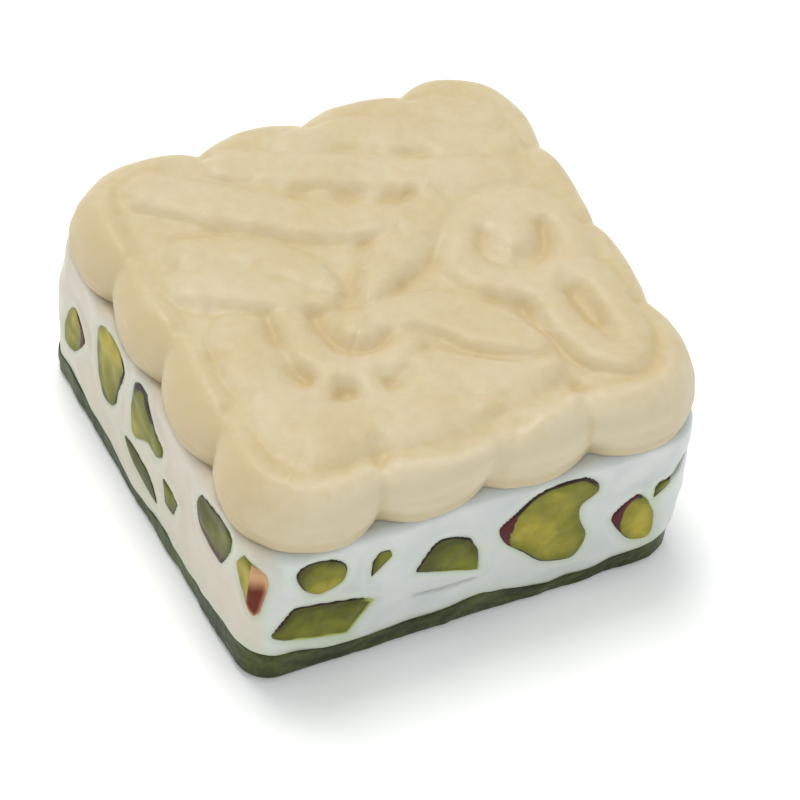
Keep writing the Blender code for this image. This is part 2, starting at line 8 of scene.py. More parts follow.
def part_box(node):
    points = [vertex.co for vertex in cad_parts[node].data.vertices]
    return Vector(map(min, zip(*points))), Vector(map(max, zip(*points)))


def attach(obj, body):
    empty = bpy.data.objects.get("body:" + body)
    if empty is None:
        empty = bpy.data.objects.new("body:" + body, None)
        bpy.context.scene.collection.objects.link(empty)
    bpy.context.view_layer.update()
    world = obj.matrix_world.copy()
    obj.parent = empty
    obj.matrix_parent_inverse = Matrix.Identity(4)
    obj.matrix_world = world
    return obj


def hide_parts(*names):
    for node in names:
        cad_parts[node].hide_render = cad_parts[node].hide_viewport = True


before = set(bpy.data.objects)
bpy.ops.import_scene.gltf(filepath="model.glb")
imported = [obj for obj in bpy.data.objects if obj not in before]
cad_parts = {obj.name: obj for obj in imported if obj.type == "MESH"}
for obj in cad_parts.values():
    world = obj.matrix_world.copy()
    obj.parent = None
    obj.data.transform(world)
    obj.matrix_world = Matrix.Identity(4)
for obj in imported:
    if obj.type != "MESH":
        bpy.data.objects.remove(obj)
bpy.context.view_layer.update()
mm = 0.001               # the sizes below are in millimetres
print("frame loaded,", len(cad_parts), "nodes")


# ---- small helpers for shapes

def deselectAll():
    bpy.ops.object.select_all(action="DESELECT")


def editMode(edited):
    bpy.ops.object.mode_set(mode="EDIT" if edited else "OBJECT")


def readPoints(piece):
    points = np.empty(len(piece.data.vertices) * 3)
    piece.data.vertices.foreach_get("co", points)
    return points.reshape(-1, 3)


def writePoints(piece, points):
    piece.data.vertices.foreach_set("co", points.ravel())
    piece.data.update()


def keepValues(piece, name, values):
    # one number for each vertex, which the piece's material reads
    attribute = piece.data.attributes.new(name, "FLOAT", "POINT")
    attribute.data.foreach_set("value", np.asarray(values, dtype=np.float32))


def unevenness(points, length, depth, shift=0.0):
    # soft random waves of that length and depth, for points in millimetres
    start = Vector((shift, shift, shift))
    return np.array([noise.noise(Vector(point) / length + start) for point in points]) * depth


def smoothStep(share):
    share = np.clip(share, 0, 1)
    return share * share * (3 - 2 * share)


def mound(x, y, centreX, centreY, radius):
    return np.exp(-((x - centreX) ** 2 + (y - centreY) ** 2) / radius ** 2)


def shareAndDistance(x, y, start, run):
    # of points from a straight run: how far along it they lie, and how far off
    share = np.clip(((x - start[0]) * run[0] + (y - start[1]) * run[1]) / (run @ run), 0, 1)
    return share, np.hypot(x - start[0] - share * run[0], y - start[1] - share * run[1])


def quarterTurned(quarters, x, y, outX, outY):
    cos, sin = np.cos(quarters * math.pi / 2), np.sin(quarters * math.pi / 2)
    return x * cos - y * sin, x * sin + y * cos, outX * cos - outY * sin, outX * sin + outY * cos


def smoothPath(points, steps=6, closed=False, slack=1.0):
    # curve through the points, round with slack 1 and with sharp corners near slack 0
    points = np.array(points, dtype=float)
    if len(points) == 2:
        return points
    if closed:
        padded = np.vstack([points[-1], points, points[:2]])
    else:
        padded = np.vstack([2 * points[0] - points[1], points, 2 * points[-1] - points[-2]])
    path = []
    for k in range(len(padded) - 3):
        before, here, after, beyond = padded[k:k + 4]
        leaving, arriving = (after - before) / 2 * slack, (beyond - here) / 2 * slack
        for t in np.arange(steps) / steps:
            swing = leaving * t * (1 - t) ** 2 - arriving * t * t * (1 - t)
            path.append(here + (after - here) * smoothStep(t) + swing)
    return np.array(path) if closed else np.array(path + [points[-1]])


def finishPiece(piece, finish, slotName, *nodes):
    piece.data.materials.append(finish)
    deselectAll()
    piece.select_set(True)
    bpy.context.view_layer.objects.active = piece
    bpy.ops.object.shade_smooth()
    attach(piece, "root")
    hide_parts(*nodes)


# ---- shader maths

class Link:
    # a socket that can stand in a sum
    def __init__(self, tree, socket=None):
        self.tree = tree
        self.socket = socket

    def node(self, kind, settings, sockets, result=0):
        made = self.tree.nodes.new(kind)
        for name, value in settings.items():
            setattr(made, name, value)
        for name, value in sockets.items():
            if isinstance(value, Link):
                self.tree.links.new(value.socket, made.inputs[name])
            else:
                made.inputs[name].default_value = value
        return Link(self.tree, made.outputs[result])

    def maths(self, operation, *values):
        return self.node("ShaderNodeMath", {"operation": operation}, dict(enumerate(values)))

    def __add__(self, other):
        return self.maths("ADD", self, other)

    def __radd__(self, other):
        return self.maths("ADD", other, self)

    def __sub__(self, other):
        return self.maths("SUBTRACT", self, other)

    def __rsub__(self, other):
        return self.maths("SUBTRACT", other, self)

    def __mul__(self, other):
        return self.maths("MULTIPLY", self, other)

    def __rmul__(self, other):
        return self.maths("MULTIPLY", other, self)

    def between(self, low, high):
        # 0 below low, 1 above high, a soft step from one to the other
        settings = {"interpolation_type": "SMOOTHSTEP"}
        return self.node("ShaderNodeMapRange", settings, {"Value": self, "From Min": low, "From Max": high})

    def grain(self, size, detail=2.0, distortion=0.0):
        # random values round 0.5, from a place in metres
        sockets = {"Vector": self, "Scale": 1 / (size * mm), "Detail": detail, "Distortion": distortion}
        return self.node("ShaderNodeTexNoise", {}, sockets)

    def stretched(self, across, along, up):
        return self.node("ShaderNodeMapping", {}, {"Vector": self, "Scale": (across, along, up)})

    def painted(self, first, second):
        # this share of the second colour over the first
        return self.node("ShaderNodeMix", {"data_type": "RGBA"}, {0: self, 6: first, 7: second}, 2)

    def bumped(self, height, strength, depth):
        sockets = {"Height": height, "Strength": strength, "Distance": depth * mm}
        return self.node("ShaderNodeBump", {}, sockets)


def screenColour(red, green, blue):
    # linear colour of a screen colour from 0 to 255
    shares = [value / 255 for value in (red, green, blue)]
    return tuple(s / 12.92 if s <= 0.04045 else ((s + 0.055) / 1.055) ** 2.4 for s in shares) + (1.0,)


def newFinish(name, constants):
    finish = bpy.data.materials.new(name)
    finish.use_nodes = True
    shader = finish.node_tree.nodes["Principled BSDF"]
    for socket, value in constants.items():
        shader.inputs[socket].default_value = value
    return finish


def pasteFinish(name, look):
    # finish that light enters: share of it, how far for red, green and blue, and the scale of that
    weight, radius, scale = look["glow"]
    finish = newFinish(name, {
        "Subsurface Weight": weight, "Subsurface Radius": radius, "Subsurface Scale": scale * mm,
        "Specular IOR Level": look["shine"],
    })
    tools = Link(finish.node_tree)
    return finish, tools, tools.node("ShaderNodeTexCoord", {}, {}, "Object")


def kept(tools, name):
    return tools.node("ShaderNodeAttribute", {"attribute_name": name}, {}, "Fac")


def dress(finish, look, base, rough, height):
    links = {
        "Base Color": base, "Roughness": look["roughness"] + rough,
        "Normal": base.bumped(height, *look["bump"]),
    }
    for name, link in links.items():
        finish.node_tree.links.new(link.socket, finish.node_tree.nodes["Principled BSDF"].inputs[name])
    return finish


creamLook = {
    "light": screenColour(216, 203, 172),
    # the cream's warmer tone, also used as painted shade on the left wall
    "warm": screenColour(206, 187, 147),
    # painted shade: the colour of the relief's hollows, and its share
    "hollowShade": screenColour(200, 174, 116),
    "hollowShadeShare": 0.5,
    "foot": screenColour(184, 168, 128),     # shade at the foot of the lobes
    "glow": (0.35, (1.0, 0.62, 0.28), 1.1), "shine": 0.35, "roughness": 0.46,
    "bump": (0.35, 0.08),    # strength and depth
    "cloudSize": 7.0, "speckSize": 0.9, "poreSize": 0.35, "dimpleSize": 1.4,
}


def creamFinish():
    look = creamLook
    finish, tools, place = pasteFinish("cream paste", look)
    cloud = place.grain(look["cloudSize"], 3.0).between(0.35, 0.65)
    speck = place.grain(look["speckSize"], 3.0).between(0.3, 0.75)
    # tone at random, plus painted shade on the left wall and painted light on the front wall
    share = cloud * 0.4 + speck * 0.3 + kept(tools, "warmthAndWallLight")
    base = share.painted(look["light"], look["warm"])
    # painted shade in the hollows: the deeper a point lies below its surroundings, the more hollow colour
    deep = (kept(tools, "hollowShade") + (speck - 0.5) * 0.15).between(0.05, 1.0)
    base = (deep * look["hollowShadeShare"]).painted(base, look["hollowShade"])
    base = kept(tools, "foot").painted(base, look["foot"])
    height = place.grain(look["poreSize"], 3.0) * 0.5 + place.grain(look["dimpleSize"], 3.0)
    return dress(finish, look, base, (place.grain(1.6) - 0.5) * 0.25, height)


nougatLook = {
    "white": screenColour(210, 214, 210),
    "shade": screenColour(200, 205, 203),       # the white's other tone
    "leftShadeIvory": screenColour(206, 196, 178),       # painted warm shade of the left side
    "greenish": screenColour(196, 206, 182),    # over the green layer and round the kernels
    "thread": screenColour(92, 100, 66),
    "glow": (0.5, (1.0, 1.0, 0.9), 1.6), "shine": 0.5, "roughness": 0.34, "bump": (0.3, 0.12),
    "cloudSize": 4.0, "leftShadeGrainSize": 2.6, "smearSize": 1.1,
}


def nougatFinish():
    look = nougatLook
    finish, tools, place = pasteFinish("white nougat", look)
    cloud = place.grain(look["cloudSize"], 2.0).between(0.35, 0.7)
    base = cloud.painted(look["white"], look["shade"])
    # painted warm shade over the left side, its edge broken up by grain
    leftShade = kept(tools, "leftShade") + (place.grain(look["leftShadeGrainSize"], 3.0) - 0.5) * 0.6
    base = leftShade.between(0.0, 1.0).painted(base, look["leftShadeIvory"])
    tint = kept(tools, "tint") * (0.6 + place.grain(1.8) * 0.8)
    base = tint.between(0.0, 1.1).painted(base, look["greenish"])
    base = kept(tools, "thread").painted(base, look["thread"])
    smear = place.stretched(0.35, 0.35, 1.0).grain(look["smearSize"], 3.0, 0.6)
    return dress(finish, look, base, (place.grain(2.2) - 0.5) * 0.25, smear + place.grain(0.3) * 0.25)


greenLook = {
    "dark": screenColour(42, 54, 24),
    "light": screenColour(84, 95, 44),
    "glow": (0.08, (0.5, 0.8, 0.3), 0.4), "shine": 0.2, "roughness": 0.42, "bump": (0.45, 0.16),
    "cloudSize": 2.6, "speckSize": 0.45,
}


def greenFinish():
    look = greenLook
    finish, tools, place = pasteFinish("green paste", look)
    cloud = place.stretched(0.6, 0.6, 1.0).grain(look["cloudSize"], 3.0, 0.4)
    speck = place.grain(look["speckSize"], 3.0)
    base = (cloud * 0.65 + speck * 0.35).between(0.38, 0.72).painted(look["dark"], look["light"])
    return dress(finish, look, base, (speck - 0.5) * 0.4, speck + cloud * 0.8)


kernelLook = {
    "deep": screenColour(74, 76, 16),
    "olive": screenColour(116, 118, 28),
    "yellow": screenColour(180, 164, 60),
    # painted highlight colour for bands along the lower edges
    "paleHighlight": screenColour(170, 180, 94),
    "rim": screenColour(44, 28, 22),
    "skin": screenColour(80, 18, 30),
    "tan": screenColour(206, 158, 116),
    "rust": screenColour(104, 38, 20),
    "glow": (0.15, (0.8, 1.0, 0.3), 0.5), "shine": 0.15, "roughness": 0.4, "bump": (0.4, 0.12),
    "cloudSize": 1.9, "fibreSize": 0.5,
}


def kernelFinish():
    look = kernelLook
    finish, tools, place = pasteFinish("pistachio kernel", look)
    cloud = place.grain(look["cloudSize"], 3.0, 0.5)
    fibre = place.grain(look["fibreSize"], 3.0, 0.8)
    ragged = (fibre - 0.5) * 0.5
    tone = kept(tools, "tone") + (cloud - 0.5) * 0.7 + ragged * 0.3
    base = tone.between(0.0, 0.5).painted(look["deep"], look["olive"])
    base = tone.between(0.4, 1.0).painted(base, look["yellow"])
    # painted highlight along the lower edges of some kernels
    base = (kept(tools, "paleHighlight") + ragged * 0.5).between(0.2, 0.9).painted(base, look["paleHighlight"])
    brown = kept(tools, "tanShare").painted(look["rust"], look["tan"])
    base = (kept(tools, "brown") + ragged * 0.3).between(0.35, 0.65).painted(base, brown)
    base = (kept(tools, "rim") + ragged * 0.5).between(0.25, 0.85).painted(base, look["rim"])
    base = (kept(tools, "skin") + ragged * 0.5).between(0.3, 0.7).painted(base, look["skin"])
    return dress(finish, look, base, (cloud - 0.5) * 0.3, fibre * 0.5 + cloud)


# ---- the moulded top

lobes = {
    "outerHalf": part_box("moulded_top")[1].x / mm,        # half the width across the lobes
    "bulge": 1.6,                  # how far a lobe stands out past its notches
    "pitch": 9.7,                  # two lobes a side between three notches, and corner lobes
    "cornerCentre": 14.1,
    "meanHalf": 20.4,              # the rounded square that the lobes wave about
    "meanCorner": 7.0,
    "fadeHeight": 5.5,             # from the crest down to where the lobes are full
    "sharpness": (8.0, 3.0),       # of the creases between them, at the foot and at the crest
    # share of the lobes that is left at the crest, for the front, right, back and left side
    "crestShares": (0.5, 0.25, 0.65, 0.45),
    # how far each crease leans along its side from foot to crest
    "leans": ((0.0, 1.4, -0.5), (0.0, 0.0, 0.0), (-2.2, -2.2, -2.2), (0.2, 0.2, 0.2)),
    "outward": (0.0, 0.45, 0.0, 0.0),          # how much wider a side is
}
lobes["notchHalf"] = lobes["outerHalf"] - lobes["bulge"]
lobes["radius"] = (lobes["pitch"] ** 2 / 4 + lobes["bulge"] ** 2) / (2 * lobes["bulge"])
lobes["cornerRadius"] = math.hypot(
    lobes["pitch"] - lobes["cornerCentre"], lobes["notchHalf"] - lobes["cornerCentre"])
lobes["centre"] = lobes["notchHalf"] - lobes["radius"] + lobes["bulge"]

# Pillows are strokes that stand up from the ground: points, half widths, share of the full height.
# Grooves and pits are pressed in: points, half widths, depth
relief = {
    "crest": 22.0,
    "deep": 0.8,              # from the crest down to the ground at the front left
    "worn": 0.35,             # share of it that is lost towards the back right
    "wornFrom": -6.0,         # x + y where that starts, and the way until it is full
    "wornLength": 26.0,
    "middle": (0.5, 0.3),     # of the medallion inside the rim, then its half width and corner radius
    "half": 18.0,
    "corner": 4.0,
    # where the medallion's border goes outwards: x, y, radius, how far
    "scallops": (
        (-2.5, -18.4, 5.0, 1.4), (-8.9, -17.6, 1.8, -0.8), (9.9, -17.4, 2.6, -1.3),
        (-17.6, -2.6, 1.8, -0.7), (-17.6, 7.0, 4.0, 0.3),
    ),
    "rimFoot": 0.5,           # how far inside the border the rim starts
    "rimSlope": 1.9,
    "pillowFade": 1.2,        # the way over which pillows end before the rim
    "pillowFoot": 1.22,       # where a pillow meets the ground, in half widths
    "roundness": 2.6,         # of a pillow across: 2 is a parabola, more is flatter on top
    "blend": 7,               # how tightly crossing strokes melt together
    "leaves": (
        (((-13.8, 8.2), (-10.8, 6.9), (-8.2, 5.2), (-6.0, 2.8), (-4.4, 0.4)),
         (1.8, 2.4, 2.7, 2.1, 0.8), 1.0),
        (((-15.6, 5.2), (-13.4, 4.0), (-11.0, 2.7), (-8.4, 1.2), (-5.4, -0.5)),
         (1.7, 2.4, 2.5, 2.0, 0.9), 1.0),
        (((-13.8, 16.0), (-9.4, 12.6), (-5.2, 9.4), (-2.0, 7.5), (1.6, 6.2), (4.8, 5.8), (7.4, 6.5)),
         (2.1, 2.1, 2.1, 1.9, 1.9, 1.5, 1.2), 1.0),
        (((-7.0, 16.6), (-3.2, 14.9), (-0.4, 13.6), (3.6, 11.9), (7.2, 10.0), (11.0, 8.6), (14.6, 7.6)),
         (1.6, 1.8, 1.8, 1.8, 1.8, 1.8, 1.6), 0.95),
        (((-0.6, 17.2), (4.6, 16.2), (9.5, 14.2), (13.4, 12.2), (16.2, 10.4)),
         (1.6, 1.9, 2.0, 2.0, 1.6), 0.9),
        (((9.0, 17.4), (13.4, 15.8), (16.4, 13.8)), (1.4, 1.6, 1.4), 0.85),
        (((-2.0, -1.6), (0.2, 0.6), (2.8, 2.4), (5.4, 4.0), (7.6, 5.4)), (1.0, 1.7, 2.2, 2.2, 1.4), 1.0),
        (((-2.4, -3.8), (1.6, -5.0), (5.0, -7.7), (7.6, -11.4)), (1.5, 2.5, 3.0, 2.1), 1.05),
        (((-3.2, -9.4), (0.2, -11.6), (3.8, -13.4), (8.0, -13.6)), (1.6, 2.6, 2.5, 1.6), 1.0),
    ),
    "bloom": (
        (((6.9, -1.2), (7.3, 1.0), (9.6, 3.2), (12.8, 4.0), (15.6, 2.7), (16.8, -0.3), (16.1, -3.2),
          (13.9, -4.9), (11.2, -5.0), (8.5, -3.7), (6.9, -1.2)), (1.6, 1.6), 1.0),
        (((11.7, -0.2), (12.4, 1.2), (13.0, 2.8)), (2.2, 2.3, 2.2), 0.95),
        (((11.7, -5.2), (11.6, -8.0), (12.0, -10.8), (12.8, -13.4), (14.6, -15.4)),
         (1.6, 1.7, 1.6, 1.6, 1.4), 1.0),
        (((15.2, -4.4), (16.8, -6.4), (16.9, -9.6), (16.6, -12.8), (15.2, -15.2)),
         (1.4, 1.5, 1.5, 1.5, 1.4), 0.95),
    ),
    "flower": (
        (((-4.6, -4.2), (-4.3, -4.6)), (1.9, 1.9), 1.0),
        (((-9.2, -1.0), (-9.5, -4.4), (-8.9, -6.8), (-6.6, -8.3), (-3.6, -8.4), (-1.4, -7.2)),
         (1.6, 1.7, 1.6, 1.6, 1.6, 1.4), 0.95),
        (((-13.4, -1.6), (-14.3, -4.8)), (2.5, 2.8), 1.0),
        (((-10.7, -9.8), (-9.3, -8.4)), (1.2, 1.2), 0.92),
        (((-6.8, -12.0), (-6.1, -9.6)), (1.3, 1.2), 0.92),
        (((-13.8, -8.2), (-13.5, -11.2), (-12.4, -13.4)), (2.7, 3.3, 3.1), 1.0),
        (((-12.4, -13.0), (-9.0, -13.5), (-5.0, -13.9), (-1.4, -14.2)), (2.8, 2.9, 3.0, 2.9), 1.0),
        (((0.6, -15.0), (2.4, -14.8)), (1.8, 1.6), 0.9),
    ),
    "grooves": (
        (((-12.6, 7.2), (-10.2, 4.9), (-8.3, 3.4), (-6.4, 1.6)), (0.9, 1.0, 0.7, 0.4), 0.2),
        (((-14.4, 11.0), (-10.6, 9.5), (-6.9, 7.4), (-4.2, 4.8)), (0.5, 0.9, 0.9, 0.6), 0.24),
        (((-14.6, 2.2), (-11.4, 0.3), (-8.6, -0.9)), (0.6, 0.8, 0.5), 0.25),
        # edges of the bar and of the band over it
        (((0.5, 4.3), (-1.6, 1.8), (-3.3, -0.6)), (0.5, 0.7, 0.5), 0.24),
        (((6.2, 2.0), (4.2, 0.0), (1.1, -1.4)), (0.9, 0.8, 0.5), 0.26),
        (((-7.4, 8.6), (-4.9, 6.8), (0.2, 4.5), (3.6, 4.0)), (0.5, 0.7, 0.7, 0.5), 0.2),
        (((-7.2, -1.2), (-7.1, -3.6), (-6.1, -5.6), (-4.4, -6.5), (-2.8, -6.4)),
         (0.7, 0.9, 0.8, 1.0, 0.7), 0.4),
        (((-17.2, -2.7), (-16.0, -2.9)), (0.9, 0.6), 0.3),
        (((-8.7, -17.6), (-8.3, -15.6)), (0.9, 0.6), 0.35),
        (((-0.2, -6.0), (1.6, -7.9), (2.9, -9.6), (4.4, -10.9), (6.6, -12.2), (8.6, -12.8)),
         (0.5, 0.6, 0.6, 0.6, 0.6, 0.5), 0.45),
        (((7.4, -5.4), (8.8, -6.0), (9.6, -7.2)), (0.9, 1.1, 0.9), 0.4),
        (((9.6, -7.2), (9.8, -10.0), (10.3, -13.4), (11.4, -15.2)), (0.8, 0.7, 0.7, 0.6), 0.3),
        (((9.7, 1.6), (10.0, 0.4), (10.8, -0.8)), (0.7, 0.9, 0.7), 0.4),
        (((11.8, -1.9), (13.2, -1.8), (14.6, -0.8), (15.2, 0.6)), (0.7, 1.0, 1.0, 0.7), 0.5),
        (((0.8, -14.4), (3.6, -15.5)), (0.4, 0.4), 0.2),
        # creases between the lobes, over the rim
        (((-9.8, -20.8), (-9.5, -19.4), (-9.1, -18.0)), (0.9, 0.8, 0.7), 0.6),
        (((0.4, -20.8), (1.9, -19.6), (3.6, -18.4)), (0.9, 0.8, 0.7), 0.6),
        (((9.0, -20.8), (9.4, -18.6), (9.8, -16.2)), (0.9, 0.8, 0.8), 0.6),
        (((-20.6, -0.2), (-19.2, 0.2), (-18.4, 0.8)), (0.9, 0.7, 0.6), 0.45),
        (((-20.6, -9.8), (-19.3, -9.4), (-18.2, -8.4)), (0.9, 0.8, 0.6), 0.5),
        (((-20.6, 9.6), (-19.2, 9.6), (-18.4, 9.8)), (0.9, 0.7, 0.6), 0.4),
        *((((20.6, y), (18.8, y)), (0.9, 0.6), 0.35) for y in (-9.7, 0.0, 9.7)),
        *((((outer, 20.8), (inner, 18.6)), (0.9, 0.6), 0.35)
          for outer, inner in ((-7.9, -7.6), (1.9, 2.2), (11.6, 11.8))),
    ),
    "pits": (
        (((-10.9, -1.3), (-11.3, -2.9)), (0.8, 0.9), 0.5),
        (((-11.4, -7.2), (-10.9, -7.6)), (1.1, 1.1), 0.55),
        (((-8.6, -10.1), (-8.2, -10.2)), (1.1, 1.0), 0.55),
        (((-4.4, -10.4), (-2.6, -9.9)), (1.1, 0.7), 0.5),
        (((13.9, -5.8), (14.1, -8.0), (14.4, -10.6)), (0.8, 0.9, 0.6), 0.45),
        (((-2.6, 11.5), (-1.6, 11.1)), (0.6, 0.7), 0.3),
        (((0.8, 9.9), (1.6, 9.6), (2.4, 9.5)), (0.6, 0.9, 0.6), 0.5),
        (((4.2, 8.1), (5.2, 7.9), (6.6, 7.8)), (0.6, 0.9, 0.6), 0.5),
        (((-2.6, 4.4), (-2.7, 2.6), (-3.1, 0.9)), (1.5, 1.1, 0.6), 0.22),
        (((3.4, 14.9), (4.6, 14.3)), (0.6, 0.6), 0.2),
        (((8.0, 12.2), (10.0, 11.4)), (0.6, 0.6), 0.25),
        (((10.7, 16.6), (11.1, 16.5)), (0.5, 0.5), 0.35),
    ),
    "swells": (
        (((4.2, -18.6), (6.6, -18.0), (8.2, -17.8)), (1.9, 2.1, 1.7), 0.4),
        (((1.6, -15.8), (3.4, -16.6)), (0.9, 0.9), 0.15),
    ),
}


def meanSide(along):
    # points and outward directions of the rounded square's front side, along it from -1 to 1
    corner = lobes["meanCorner"]
    straight = lobes["meanHalf"] - corner
    travelled = along * (straight + corner * math.pi / 4)
    angle = np.sign(along) * np.clip(np.abs(travelled) - straight, 0, None) / corner
    x = np.clip(travelled, -straight, straight) + corner * np.sin(angle)
    return x, -straight - corner * np.cos(angle), np.sin(angle), -np.cos(angle)


def lobeReach(along, sharpness):
    # how far the lobes stand out past the rounded square, with soft creases between them
    x, y, outX, outY = meanSide(along)
    reaches = []
    for side in (-1, 1):
        for middleX, middleY, radius in (
                (lobes["pitch"] / 2, lobes["centre"], lobes["radius"]),
                (lobes["cornerCentre"], lobes["cornerCentre"], lobes["cornerRadius"])):
            aside, behind = side * middleX - x, -middleY - y
            outward = aside * outX + behind * outY
            room = radius ** 2 - aside ** 2 - behind ** 2 + outward ** 2
            reaches.append(np.where(room > 0, outward + np.sqrt(np.maximum(room, 0)), -4.0))
    highest = np.max(reaches, axis=0)
    total = sum(np.exp(sharpness * (reach - highest)) for reach in reaches)
    return highest + np.log(total) / sharpness


def bySide(place, values):
    # goes smoothly from one side's value to the next, for places from 0 to 8
    side = (place - 1) / 2
    before = np.floor(side)
    near = np.take(values, before.astype(int), mode="wrap")
    after = np.take(values, before.astype(int) + 1, mode="wrap")
    return near + (after - near) * smoothStep((side - before - 0.25) * 2)


def lobedWall(place, height):
    # points and outward directions of the wall, for places from 0 to 8, two for each side
    fallen = smoothStep((relief["crest"] - height) / lobes["fadeHeight"])
    sideLength = 2 * (lobes["meanHalf"] - lobes["meanCorner"]) + lobes["meanCorner"] * math.pi / 2
    pitch = 2 * lobes["pitch"] / sideLength
    creasePlaces = [2 * side + 1 + step * pitch for side in range(4) for step in (-1, 0, 1)]
    lean = np.interp(place, creasePlaces, np.ravel(lobes["leans"]), period=8)
    leant = (place - 2 * lean / sideLength * (1 - fallen)) % 2 - 1
    atFoot, atCrest = lobes["sharpness"]
    reach = lobeReach(leant, atCrest + (atFoot - atCrest) * fallen)
    crestShare = bySide(place, lobes["crestShares"])
    reach *= crestShare + (1 - crestShare) * fallen
    reach += bySide(place, lobes["outward"])
    x, y, outX, outY = meanSide(place % 2 - 1)
    return quarterTurned(np.floor(place / 2), x + outX * reach, y + outY * reach, outX, outY)


def distanceInWidths(x, y, points, widths):
    # distance from a stroke's middle line, in its half widths there
    path = smoothPath(points)
    halfWidths = np.interp(np.linspace(0, 1, len(path)), np.linspace(0, 1, len(widths)), widths)
    nearest = np.full(x.shape, 99.0)
    for k in range(len(path) - 1):
        share, away = shareAndDistance(x, y, path[k], path[k + 1] - path[k])
        width = halfWidths[k] + (halfWidths[k + 1] - halfWidths[k]) * share
        nearest = np.minimum(nearest, away / width)
    return nearest


def topHeight(x, y):
    middleX, middleY = relief["middle"]
    corner, blend = relief["corner"], relief["blend"]
    beyondX = np.maximum(np.abs(x - middleX) - relief["half"] + corner, 0)
    beyondY = np.maximum(np.abs(y - middleY) - relief["half"] + corner, 0)
    reach = np.hypot(beyondX, beyondY) - corner
    for centreX, centreY, radius, outward in relief["scallops"]:
        reach -= outward * mound(x, y, centreX, centreY, radius)
    raised = smoothStep((reach + relief["rimFoot"]) / relief["rimSlope"]) ** blend
    inside = smoothStep((relief["rimFoot"] - reach) / relief["pillowFade"])
    for points, widths, share in relief["leaves"] + relief["bloom"] + relief["flower"]:
        away = np.clip(distanceInWidths(x, y, points, widths) / relief["pillowFoot"], 0, 1)
        raised += (share * inside * (1 - away ** relief["roundness"])) ** blend
    worn = relief["worn"] * smoothStep((x + y - relief["wornFrom"]) / relief["wornLength"])
    deep = relief["deep"] * (1 - worn)
    height = relief["crest"] - deep + deep * raised ** (1 / blend)
    for points, widths, depth in relief["grooves"] + relief["pits"]:
        height -= depth * np.exp(-distanceInWidths(x, y, points, widths) ** 2)
    for points, widths, rise in relief["swells"]:
        height += rise * np.exp(-distanceInWidths(x, y, points, widths) ** 2)
    return height


def blurred(grid, passes):
    for _ in range(passes):
        around = grid[:-2, 1:-1] + grid[2:, 1:-1] + grid[1:-1, :-2] + grid[1:-1, 2:]
        grid[1:-1, 1:-1] = (4 * grid[1:-1, 1:-1] + around) / 8
    return grid


creamTop = {
    "squares": 300,            # squares of the mesh along a side
    "topEnd": 0.72,            # share of them that the flat top takes
    "rimEnd": 0.87,            # from there to here is the rounded rim, then the wall
    "rimRounding": 3.3,
    "wallHeight": 3.6,
    "wallSwell": 0.15,
    "footRounding": 1.7,
    "footFrom": 0.45,          # share of the wall that lies over the rounding of its foot
    "softening": 10,
    "waves": ((5.0, 0.25), (1.6, 0.07)),      # length and depth of its unevenness
    "hollowPasses": 160,       # blurring against which a hollow is measured
    "hollowDepth": 0.45,       # depth of a hollow that gets the full painted shade
    "footShade": 0.6,
    "warmthAndWallLight": 0.4,             # warmth of the top; the left wall gets more of it as painted shade and the front wall less as painted light
    "leftWallShade": 0.6,
    "frontWallLight": 1.0,
}


def placeAround(u, v):
    # place from 0 to 8 of a point on the border of a square from -1 to 1
    return np.select([v < -0.99999, u > 0.99999, v > 0.99999], [1 + u, 3 + v, 5 - u], 7 - v)


